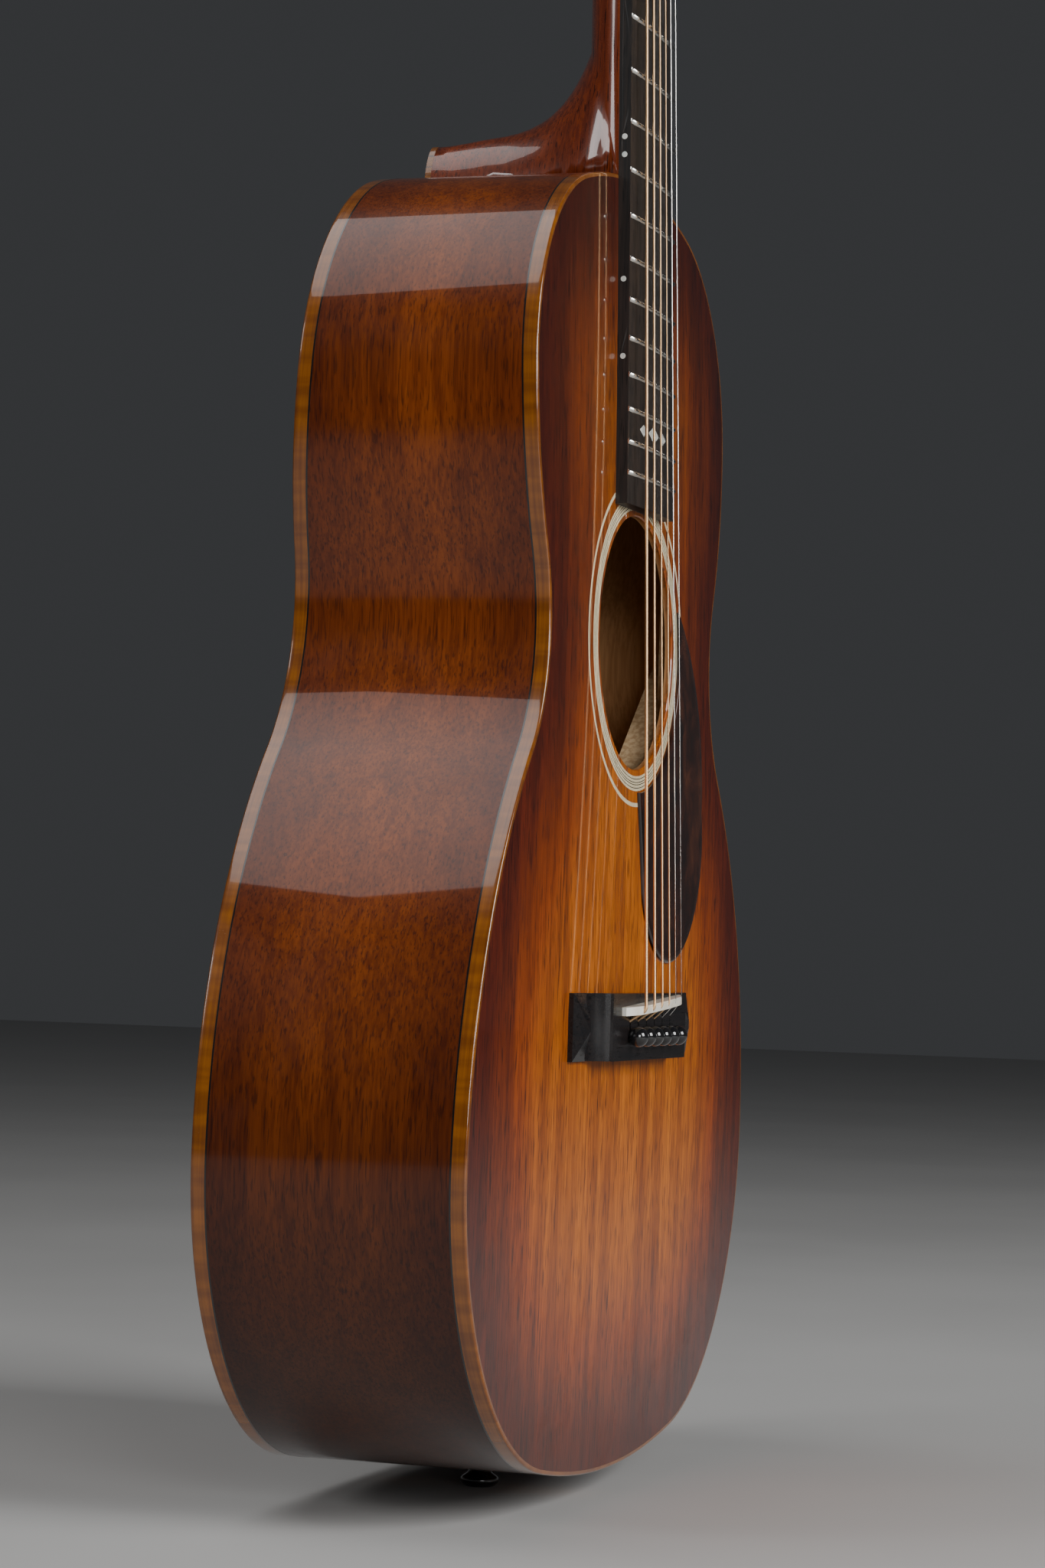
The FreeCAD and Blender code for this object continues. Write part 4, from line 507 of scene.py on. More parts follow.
@dataclass(frozen=True)
class BareWood:
    """Sanded inside wood with saw-straight grain."""

    name: str
    light: Colour
    dark: Colour
    axis: Axis = Axis.Z
    line_scale: float = 1.0

    def build(self) -> bpy.types.Material:
        """Makes the material."""
        paint = Paint(self.name, Specular_IOR_Level=0.25)
        source = paint.place(paint.objects(), (self.line_scale,) * 3, self.axis.value)
        wood = paint.group("wood", Vector=source, Pore_Share=0.3)
        rings = paint.noise(paint.place(source, (480, 480, 2.0)), 1.0, 1.0)
        base = paint.mix(paint.span(rings, 0.35, 0.65), self.light, self.dark)
        paint.colour(paint.mix(paint.times(wood.outputs["Pore"], 0.4), base,
                               paint.tinted(base, (0.5, 0.42, 0.36))))
        paint.roughness(paint.span(wood.outputs["Streak"], 0.0, 1.0, 0.62, 0.8))
        paint.relief(wood.outputs["Streak"], 0.06)
        return paint.material


@dataclass(frozen=True)
class OiledEbony:
    """Near-black wood, rubbed smooth, with faint brown streaks and fine pores."""

    name: str
    tone: Colour = (0.011, 0.010, 0.011)
    streak: Colour = (0.030, 0.020, 0.016)
    rough: float = 0.3
    grain: float = 1.0
    axis: Axis = Axis.Z

    def build(self) -> bpy.types.Material:
        """Makes the material."""
        paint = Paint(self.name, Specular_IOR_Level=0.35)
        source = paint.place(paint.objects(), (1, 1, 1), self.axis.value)
        wood = paint.group("wood", Vector=source, Pore_Share=0.55)
        base = paint.mix(paint.times(wood.outputs["Streak"], 0.8), self.tone, self.streak)
        paint.colour(paint.mix(wood.outputs["Pore"], base, (0.004, 0.003, 0.003)))
        polish = paint.group("polish", Vector=paint.objects(), Base=self.rough, Smudge=0.14)
        worn = paint.times(wood.outputs["Pore"], 0.25 * self.grain)
        paint.roughness(paint.plus(polish.outputs["Roughness"], worn))
        paint.relief(paint.minus(1.0, wood.outputs["Pore"]), 0.02 * self.grain)
        return paint.material


@dataclass(frozen=True)
class TortoisePlastic:
    """Dark mottled plastic, clear between clouds of brown."""

    name: str

    def build(self) -> bpy.types.Material:
        """Makes the material."""
        paint = Paint(self.name, Coat_Weight=0.6, Coat_Roughness=0.05, Specular_IOR_Level=0.55)
        source = paint.objects()
        cloud = paint.noise(paint.place(source, (42, 42, 30)), 1.0, 5.0, 0.6, 1.6)
        spot = paint.noise(paint.place(source, (130, 130, 90), shift=(0.3, 0.0, 0.2)), 1.0, 3.0, 0.55, 1.0)
        blend = paint.plus(paint.times(cloud, 0.7), paint.times(spot, 0.3))
        paint.colour(paint.ramp(blend, [(0.36, (0.006, 0.0025, 0.0018)), (0.50, (0.022, 0.006, 0.003)),
                                        (0.60, (0.05, 0.014, 0.006)), (0.72, (0.10, 0.031, 0.011))]))
        polish = paint.group("polish", Vector=source, Base=0.12, Smudge=0.16)
        paint.roughness(polish.outputs["Roughness"])
        paint.relief(polish.outputs["Height"], 0.01)
        return paint.material


@dataclass(frozen=True)
class RingLines:
    """Cream and black lines, told apart by their distance from the soundhole's centre."""

    name: str
    cream: Colour = (0.90, 0.78, 0.52)
    black: Colour = (0.012, 0.008, 0.006)
    lines_mm: Tuple[Pair, ...] = ((51.7, 52.7), (53.0, 54.0), (54.3, 54.9), (55.2, 56.2), (56.5, 57.5))
    outer_mm: Pair = (62.1, 63.7)

    def build(self) -> bpy.types.Material:
        """Makes the material: each cream line is a smooth step up and a smooth step down."""
        paint = Paint(self.name, Coat_Weight=0.9, Coat_Roughness=0.035, Coat_IOR=1.52)
        source = paint.objects()
        split = paint.node("ShaderNodeSeparateXYZ")
        paint.feed(split.inputs[0], source)
        squared = paint.plus(paint.times(split.outputs[0], split.outputs[0]),
                             paint.times(split.outputs[2], split.outputs[2]))
        radius = paint.times(paint.math("SQRT", squared), 1000.0)
        total: Value = 0.0
        for low, high in (*self.lines_mm, self.outer_mm):
            up = paint.span(radius, low - 0.05, low + 0.05)
            down = paint.span(radius, high - 0.05, high + 0.05)
            total = paint.plus(total, paint.minus(up, down))
        grime = paint.noise(paint.place(source, (600, 600, 600)), 1.0, 3.0)
        aged = paint.mix(paint.span(grime, 0.4, 0.7, 0.0, 0.5), self.cream, (0.72, 0.56, 0.32))
        paint.colour(paint.mix(total, self.black, aged))
        polish = paint.group("polish", Vector=source, Base=0.22, Smudge=0.08)
        paint.roughness(polish.outputs["Roughness"])
        return paint.material


@dataclass(frozen=True)
class Polished:
    """A smooth solid such as bone, pearl or plastic: two tones, a soft mottle and handling marks."""

    name: str
    tone: Colour
    mottle: Colour
    scale: float = 120.0
    stretch: float = 1.0
    rough: float = 0.25
    subsurface: float = 0.0
    coat: float = 0.0
    relief_mm: float = 0.01

    def build(self) -> bpy.types.Material:
        """Makes the material."""
        paint = Paint(self.name, Coat_Weight=self.coat, Coat_Roughness=0.06,
                      Subsurface_Weight=self.subsurface, Subsurface_Radius=(0.002, 0.0014, 0.0008))
        source = paint.objects()
        scale = (self.scale, self.scale, self.scale * self.stretch)
        cloud = paint.noise(paint.place(source, scale), 1.0, 4.0, 0.6, 0.6)
        paint.colour(paint.mix(paint.span(cloud, 0.38, 0.66), self.tone, self.mottle))
        polish = paint.group("polish", Vector=source, Base=self.rough, Smudge=0.14)
        paint.roughness(polish.outputs["Roughness"])
        paint.relief(polish.outputs["Height"], self.relief_mm)
        return paint.material


@dataclass(frozen=True)
class Metal:
    """A metal with dull patches and fine scratches."""

    name: str
    clean: Colour
    dull: Colour
    rough: float = 0.18
    wear: float = 1.0

    def build(self) -> bpy.types.Material:
        """Makes the material."""
        paint = Paint(self.name, Metallic=1.0)
        source = paint.objects()
        marks = paint.group("tarnish", Vector=source)
        paint.colour(paint.mix(paint.times(marks.outputs["Dull"], 0.7 * self.wear), self.clean, self.dull))
        rough = paint.plus(self.rough, paint.times(marks.outputs["Dull"], 0.18 * self.wear))
        paint.roughness(paint.plus(rough, paint.times(marks.outputs["Scratch"], 0.2 * self.wear)))
        paint.relief(marks.outputs["Scratch"], 0.004 * self.wear)
        return paint.material


SPRUCE_TONES = ((0.60, 0.43, 0.25), (0.44, 0.28, 0.14))
FINISHES: Dict[str, object] = {
    "top": ShadedMahogany("shaded_top", (0.44, 0.110, 0.004), (0.26, 0.044, 0.002), (0.080, 0.008, 0.001)),
    "back": ShadedMahogany("shaded_back", (0.26, 0.062, 0.005), (0.17, 0.034, 0.004), (0.060, 0.009, 0.003),
                           heights_mm=(-300.0, 0.0), dimmest=0.8),
    # The side's height factor paints shade: its colour falls to 0.3 towards the bottom.
    "side": ShadedMahogany("shaded_side", (0.19, 0.038, 0.002), (0.16, 0.031, 0.002), (0.12, 0.021, 0.0015),
                           (0.0, 40.0), 0.35, 0.55, (-300.0, -90.0), 0.3),
    "neck": LacqueredWood("neck_mahogany", (0.20, 0.034, 0.006), (0.095, 0.014, 0.004), ribbon=0.45),
    "binding": BindingWood("curly_binding", (0.29, 0.092, 0.006), (0.17, 0.047, 0.004)),
    "graft": LacqueredWood("curly_graft", (0.42, 0.19, 0.055), (0.28, 0.11, 0.03), ribbon=0.2, curl=0.8,
                           axis=Axis.Y),
    "spruce_rising": BareWood("spruce_bars", *SPRUCE_TONES, Axis.RISING),
    "spruce_across": BareWood("spruce_cross_bars", *SPRUCE_TONES, Axis.X),
    "block": BareWood("block_mahogany", (0.30, 0.17, 0.09), (0.22, 0.11, 0.055)),
    "maple": BareWood("plate_maple", (0.62, 0.47, 0.30), (0.52, 0.37, 0.22), Axis.X, 1.4),
    "ebony_board": OiledEbony("board_ebony", tone=(0.008, 0.008, 0.008), rough=0.42, grain=0.3),
    "ebony_bridge": OiledEbony("bridge_ebony", tone=(0.008, 0.008, 0.009), streak=(0.018, 0.013, 0.012),
                               rough=0.22, grain=0.2, axis=Axis.X),
    "veneer": LacqueredWood("head_rosewood", (0.060, 0.022, 0.014), (0.018, 0.008, 0.006), 0.6, 0.3),
    "guard": TortoisePlastic("tortoise"),
    "rosette": RingLines("ring_lines"),
    "bone": Polished("polished_bone", (0.90, 0.86, 0.76), (0.82, 0.75, 0.62), 260.0, 0.2, 0.28, 0.15, 0.2),
    "pin": Polished("black_gloss", (0.006, 0.006, 0.007), (0.011, 0.010, 0.010), 300.0, rough=0.10,
                    coat=0.8, relief_mm=0.004),
    "pearl": Polished("pearl_dots", (0.74, 0.74, 0.68), (0.55, 0.62, 0.60), 500.0, 0.5, 0.15, 0.0, 0.7),
    "button": Polished("cream_buttons", (0.66, 0.55, 0.34), (0.52, 0.39, 0.20), 90.0, 0.4, 0.2, 0.12, 0.5),
    "nickel": Metal("nickel_silver", (0.80, 0.78, 0.73), (0.52, 0.49, 0.43), wear=0.3),
    "steel": Metal("grey_steel", (0.58, 0.57, 0.55), (0.30, 0.28, 0.26), 0.3, 0.4),
    "brass": Metal("aged_brass", (0.78, 0.56, 0.24), (0.42, 0.28, 0.11), 0.24, 0.4),
    "ball": Metal("ball_brass", (0.78, 0.56, 0.24), (0.42, 0.28, 0.11), 0.24, 0.4),
    "bronze": Metal("string_bronze", (0.86, 0.56, 0.31), (0.62, 0.36, 0.17), 0.34, 0.15),
    "plain_steel": Metal("plain_string", (0.86, 0.84, 0.80), (0.62, 0.60, 0.56), 0.15, 0.1),
}


class Finishes:
    """Makes each material once, when a piece first asks for it."""

    def __init__(self) -> None:
        """Starts with none made."""
        self.made: Dict[str, bpy.types.Material] = {}

    def get(self, name: str) -> bpy.types.Material:
        """The material of that name."""
        if name not in self.made:
            self.made[name] = FINISHES[name].build()
        return self.made[name]


PAINTS = Finishes()


# ---- meshes ---------------------------------------------------------------------------------------
def grid_faces(rows: int, columns: int, wrap_rows: bool, wrap_columns: bool) -> np.ndarray:
    """Quads of a grid of points.

    Args:
        rows: number of rows.
        columns: number of points in each row.
        wrap_rows: joins the last row to the first.
        wrap_columns: joins each row's last point to its first.

    Returns:
        An array of four indices per quad.
    """
    row = np.arange(rows if wrap_rows else rows - 1)
    column = np.arange(columns if wrap_columns else columns - 1)
    r, c = np.meshgrid(row, column, indexing="ij")
    r2 = (r + 1) % rows
    c2 = (c + 1) % columns
    corners = (r * columns + c, r * columns + c2, r2 * columns + c2, r2 * columns + c)
    return np.stack(corners, -1).reshape(-1, 4)


def fan_faces(ring: np.ndarray, hub: int, flip: bool) -> np.ndarray:
    """Triangles from a closed ring of indices to one hub point."""
    after = np.roll(ring, -1)
    hubs = np.full_like(ring, hub)
    return np.stack([after, ring, hubs] if flip else [ring, after, hubs], -1)


@dataclass
class Surface:
    """Points of a grid, rows by columns, with numbers stored on them.

    A grid whose columns wrap and whose rows don't is a tube, and ``caps`` closes its two ends with
    a hub at the middle of the first and last rows.
    """

    points: np.ndarray
    wrap_rows: bool = False
    wrap_columns: bool = True
    caps: bool = False
    numbers: Dict[str, np.ndarray] = field(default_factory=dict)

    def mesh(self, name: str) -> bpy.types.Mesh:
        """Turns the grid into a mesh with outward faces."""
        rows, columns, _ = self.points.shape
        flat = self.points.reshape(-1, 3)
        quads = grid_faces(rows, columns, self.wrap_rows, self.wrap_columns)
        triangles = np.zeros((0, 3), int)
        if self.caps:
            hubs = np.stack([self.points[0].mean(0), self.points[-1].mean(0)])
            first = fan_faces(np.arange(columns), len(flat), True)
            last = fan_faces(np.arange(columns) + (rows - 1) * columns, len(flat) + 1, False)
            triangles = np.concatenate([first, last])
            flat = np.concatenate([flat, hubs])
        return build_mesh(name, flat, quads, triangles, self.stored(rows, columns))

    def add(self, name: str, paint: str, body: str, stands_for: Sequence[str],
            crease: float = 34.0) -> None:
        """Puts the mesh in the scene as a piece."""
        add_piece(self.mesh(name + "_mesh"), name, paint, body, stands_for, crease)

    def stored(self, rows: int, columns: int) -> Dict[str, np.ndarray]:
        """The stored numbers, one per point, with the hubs taking their rows' mean."""
        out = {}
        for key, values in self.numbers.items():
            table = np.broadcast_to(values, (rows, columns))
            flat = table.reshape(-1)
            if self.caps:
                flat = np.concatenate([flat, [table[0].mean(), table[-1].mean()]])
            out[key] = flat
        return out


def build_mesh(name: str, points: np.ndarray, quads: np.ndarray, triangles: np.ndarray,
               numbers: Dict[str, np.ndarray]) -> bpy.types.Mesh:
    """A mesh from plain arrays, with numbers stored on its points."""
    mesh = bpy.data.meshes.new(name)
    faces = quads.tolist() + triangles.tolist()
    mesh.from_pydata(points.tolist(), [], faces)
    for key, values in numbers.items():
        layer = mesh.attributes.new(key, "FLOAT", "POINT")
        layer.data.foreach_set("value", np.ascontiguousarray(values, dtype=np.float32))
    shell = bmesh.new()
    shell.from_mesh(mesh)
    bmesh.ops.recalc_face_normals(shell, faces=shell.faces)
    shell.to_mesh(mesh)
    shell.free()
    mesh.shade_smooth()
    mesh.update()
    return mesh


def add_piece(mesh: bpy.types.Mesh, name: str, paint: str, body: str, stands_for: Sequence[str],
              crease: float) -> bpy.types.Object:
    """Puts a mesh in the scene as a piece that rides on a body.

    Args:
        mesh: the finished mesh.
        name: the piece's name.
        paint: key of its finish.
        body: the body that it rides on.
        stands_for: CAD nodes that it replaces.
        crease: angle in degrees past which an edge stays sharp.

    Returns:
        The piece.
    """
    mesh.set_sharp_from_angle(angle=math.radians(crease))
    piece = bpy.data.objects.new(name, mesh)
    bpy.context.scene.collection.objects.link(piece)
    mesh.materials.clear()
    mesh.materials.append(PAINTS.get(paint))
    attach(piece, body)
    if stands_for:
        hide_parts(*stands_for)
    log.info("piece %s: %d faces on %s", name, len(mesh.polygons), body)
    return piece


def dressed_copy(node: str, paint: str, crease: float, body: str = "guitar",
                 round_mm: float = 0.0) -> bpy.types.Object:
    """A welded, smoothed copy of a CAD node, that stands for it.

    Args:
        node: the CAD node.
        paint: key of its finish.
        crease: angle in degrees past which an edge stays sharp.
        body: the body that it rides on.
        round_mm: width of its rounded edges, or 0 for none.

    Returns:
        The piece.
    """
    mesh = frame["nodes"][node].data.copy()
    mesh.name = node + "_copy"
    shell = bmesh.new()
    shell.from_mesh(mesh)
    bmesh.ops.remove_doubles(shell, verts=shell.verts, dist=2e-6)
    bmesh.ops.dissolve_degenerate(shell, edges=shell.edges, dist=1e-6)
    if round_mm > 0.0:
        bmesh.ops.dissolve_limit(shell, angle_limit=math.radians(0.4), verts=shell.verts, edges=shell.edges)
    shell.to_mesh(mesh)
    shell.free()
    mesh.shade_smooth()
    piece = add_piece(mesh, node + "_finished", paint, body, (node,), crease)
    if round_mm > 0.0:
        soften(piece, round_mm, crease)
    return piece


def soften(piece: bpy.types.Object, width_mm: float, crease: float) -> None:
    """Bevels a piece's edges."""
    soft = piece.modifiers.new("soft_edges", "BEVEL")
    soft.width = width_mm * MM
    soft.segments = 2
    soft.limit_method = "ANGLE"
    soft.angle_limit = math.radians(crease)
    soft.harden_normals = True


def dress_node(node: str, paint: str) -> None:
    """Gives a CAD node that stays as it is one finish, in place of its own materials."""
    piece = frame["nodes"][node]
    piece.data.materials.clear()
    piece.data.materials.append(PAINTS.get(paint))
    log.info("node %s: dressed in %s", node, paint)


def lathe(profile: Sequence[Pair], centre: np.ndarray, axis: np.ndarray,
          sides: int = 48, power: float = 2.0, flatten: float = 1.0) -> Surface:
    """Turns a profile about an axis.

    Each point is the centre, plus the axis times its height, plus a turning unit vector times its
    radius.

    Args:
        profile: radius and height pairs in metres, from one end to the other.
        centre: where height 0 is.
        axis: unit direction of the height.
        sides: points around.
        power: 2 is a circle, and more is squarer.
        flatten: squeezes the second direction.

    Returns:
        The surface, with its ends capped.
    """
    pairs = np.array(profile)
    helper = np.array([1.0, 0.0, 0.0]) if abs(axis[0]) < 0.9 else np.array([0.0, 0.0, 1.0])
    first = np.cross(axis, helper)
    first /= np.linalg.norm(first)
    second = np.cross(axis, first)
    turn = np.linspace(0.0, 2.0 * math.pi, sides, endpoint=False)
    cosine = np.sign(np.cos(turn)) * np.abs(np.cos(turn)) ** (2.0 / power)
    sine = np.sign(np.sin(turn)) * np.abs(np.sin(turn)) ** (2.0 / power)
    around = cosine[:, None] * first + sine[:, None] * second * flatten
    points = centre + pairs[:, 1, None, None] * axis + pairs[:, 0, None, None] * around[None]
    return Surface(points, caps=True)


def round_profile(points_mm: Sequence[Pair], steps: int = 6, share: float = 0.35) -> List[Pair]:
    """Rounds the inner corners of a profile: each corner becomes a short quadratic curve."""
    pts = np.array(points_mm, float) * MM
    out = [tuple(pts[0])]
    t = np.linspace(0.0, 1.0, steps)[:, None]
    for before, corner, after in zip(pts[:-2], pts[1:-1], pts[2:]):
        start = corner + (before - corner) * share
        end = corner + (after - corner) * share
        curve = (1 - t) ** 2 * start + 2 * t * (1 - t) * corner + t ** 2 * end
        out += [tuple(p) for p in curve]
    out.append(tuple(pts[-1]))
    return out


# ---- body -------------------------------------------------------------------------------------------
@dataclass
class BodyShape:
    """The body's outline, dome and arch, from the same values as the frame's."""

    lower_mm: Pair = (182.0, 122.5)
    waist_mm: Pair = (108.7, 317.5)
    upper_mm: Pair = (127.1, 411.8)
    length_mm: float = 498.5
    tail_radius_mm: float = 507.3
    waist_radius_mm: float = 71.9
    neck_radius_mm: float = 258.8
    tail_depth_mm: float = 104.8
    neck_depth_mm: float = 85.7
    top_radius_mm: float = 8534.0
    dome_height_mm: float = 200.0
    back_radius_mm: float = 4572.0
    top_thickness_mm: float = 2.8
    samples: int = 600

    def __post_init__(self) -> None:
        """Places the shape in the frame: the tail's edge is the top binding's lowest point."""
        low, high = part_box("top_binding")
        self.tail_z = low.z
        self.hole_mm = -low.z / MM
        self.origin_y = (self.dome_y(0.0, self.hole_mm) + self.top_thickness_mm / 2.0) * MM
        self.edge, self.inward, self.run = self.sampled()

    def dome_y(self, x: np.ndarray, z: np.ndarray) -> np.ndarray:
        """Height of the soundboard's face in the body's own millimetres: a sphere."""
        radius = self.top_radius_mm
        return radius - np.sqrt(radius ** 2 - x ** 2 - (z - self.dome_height_mm) ** 2)

    def arch_y(self, x: np.ndarray, z: np.ndarray) -> np.ndarray:
        """Height of the back's face: a sphere through both ends of the rim."""
        tail = np.array([self.dome_y(0.0, 0.0) + self.tail_depth_mm, 0.0])
        neck = np.array([self.dome_y(0.0, self.length_mm) + self.neck_depth_mm, self.length_mm])
        chord = neck - tail
        length = np.linalg.norm(chord)
        sag = math.sqrt(self.back_radius_mm ** 2 - (length / 2.0) ** 2)
        normal = np.array([-chord[1], chord[0]]) / length
        centre = (tail + neck) / 2.0 + normal * sag
        return centre[0] + np.sqrt(self.back_radius_mm ** 2 - x ** 2 - (z - centre[1]) ** 2)

    def arcs(self) -> List[Tuple[np.ndarray, float, float, np.ndarray, np.ndarray]]:
        """Centre, radius, side (1 bulges out, -1 in), start and end of each arc of the treble half."""
        wide, low = self.lower_mm
        waist, waist_z = self.waist_mm
        upper, upper_z = self.upper_mm
        in_lower, up_lower = wide - waist, waist_z - low
        out_upper, up_upper = upper - waist, upper_z - waist_z
        above = self.length_mm - upper_z
        tail_r, waist_r, neck_r = self.tail_radius_mm, self.waist_radius_mm, self.neck_radius_mm
        corner_r = (2 * tail_r * low - wide ** 2 - low ** 2) / (2 * (tail_r - wide))
        hip_r = (in_lower ** 2 + up_lower ** 2) / (2 * in_lower) - waist_r
        chest_r = (out_upper ** 2 + up_upper ** 2) / (2 * out_upper) - waist_r
        shoulder_r = (2 * neck_r * above - upper ** 2 - above ** 2) / (2 * (neck_r - upper))
        tail_c = np.array([0.0, tail_r])
        corner_c = np.array([wide - corner_r, low])
        hip_c = np.array([wide - hip_r, low])
        waist_c = np.array([waist + waist_r, waist_z])
        chest_c = np.array([upper - chest_r, upper_z])
        shoulder_c = np.array([upper - shoulder_r, upper_z])
        neck_c = np.array([0.0, self.length_mm - neck_r])

        def toward(first: np.ndarray, second: np.ndarray, distance: float) -> np.ndarray:
            """The point at a distance from the first towards the second."""
            step = second - first
            return first + step / np.linalg.norm(step) * distance

        knots = [np.array([0.0, 0.0]), toward(tail_c, corner_c, tail_r), np.array([wide, low]),
                 toward(hip_c, waist_c, hip_r), toward(chest_c, waist_c, chest_r),
                 np.array([upper, upper_z]), toward(neck_c, shoulder_c, neck_r),
                 np.array([0.0, self.length_mm])]
        centres = [tail_c, corner_c, hip_c, waist_c, chest_c, shoulder_c, neck_c]
        radii = [tail_r, corner_r, hip_r, waist_r, chest_r, shoulder_r, neck_r]
        sides = [1.0, 1.0, 1.0, -1.0, 1.0, 1.0, 1.0]
        return list(zip(centres, radii, sides, knots[:-1], knots[1:]))

    def sampled(self) -> Tuple[np.ndarray, np.ndarray, np.ndarray]:
        """Points, inward normals and running length around the whole outline, tail first.

        Each point is an arc's centre plus its radius times a unit vector, whose angle steps evenly.
        """
        arcs = self.arcs()
        lengths, angles = [], []
        for centre, radius, _, start, end in arcs:
            first = math.atan2(*(start - centre)[::-1])
            turn = (math.atan2(*(end - centre)[::-1]) - first + math.pi) % (2 * math.pi) - math.pi
            angles.append((first, turn))
            lengths.append(abs(turn) * radius)
        ends = np.concatenate([[0.0], np.cumsum(lengths)])
        place = (np.arange(self.samples // 2) + 0.5) / (self.samples // 2) * ends[-1]
        which = np.clip(np.searchsorted(ends, place, side="right") - 1, 0, len(arcs) - 1)
        share = (place - ends[which]) / np.array(lengths)[which]
        first = np.array([a[0] for a in angles])[which]
        turn = np.array([a[1] for a in angles])[which]
        centre = np.array([a[0] for a in arcs])[which]
        radius = np.array([a[1] for a in arcs])[which]
        side = np.array([a[2] for a in arcs])[which]
        unit = np.stack([np.cos(first + turn * share), np.sin(first + turn * share)], -1)
        right = centre + radius[:, None] * unit
        inward = -unit * side[:, None]
        flip = np.array([-1.0, 1.0])
        points = np.concatenate([right, right[::-1] * flip])
        normals = np.concatenate([inward, inward[::-1] * flip])
        run = np.concatenate([place, 2 * ends[-1] - place[::-1]])
        return points, normals, run

    def at(self, plan: np.ndarray, y: np.ndarray) -> np.ndarray:
        """Frame points, in metres, from plan points and heights in the body's millimetres."""
        x = plan[..., 0] * MM
        z = plan[..., 1] * MM + self.tail_z
        return np.stack([x, y * MM - self.origin_y, z], -1)

    def inset(self, amount: Union[float, np.ndarray]) -> np.ndarray:
        """The outline drawn in by an amount."""
        return self.edge + self.inward * amount

    def edge_distance(self, plan: np.ndarray) -> np.ndarray:
        """Distance of each plan point to the outline, in metres."""
        flat = plan.reshape(-1, 2)
        nearest = np.full(len(flat), 1e9)
        for start in range(0, len(self.edge), 60):
            chunk = self.edge[start:start + 60]
            gap = np.linalg.norm(flat[:, None] - chunk[None], axis=-1).min(1)
            nearest = np.minimum(nearest, gap)
        return nearest.reshape(plan.shape[:-1]) * MM


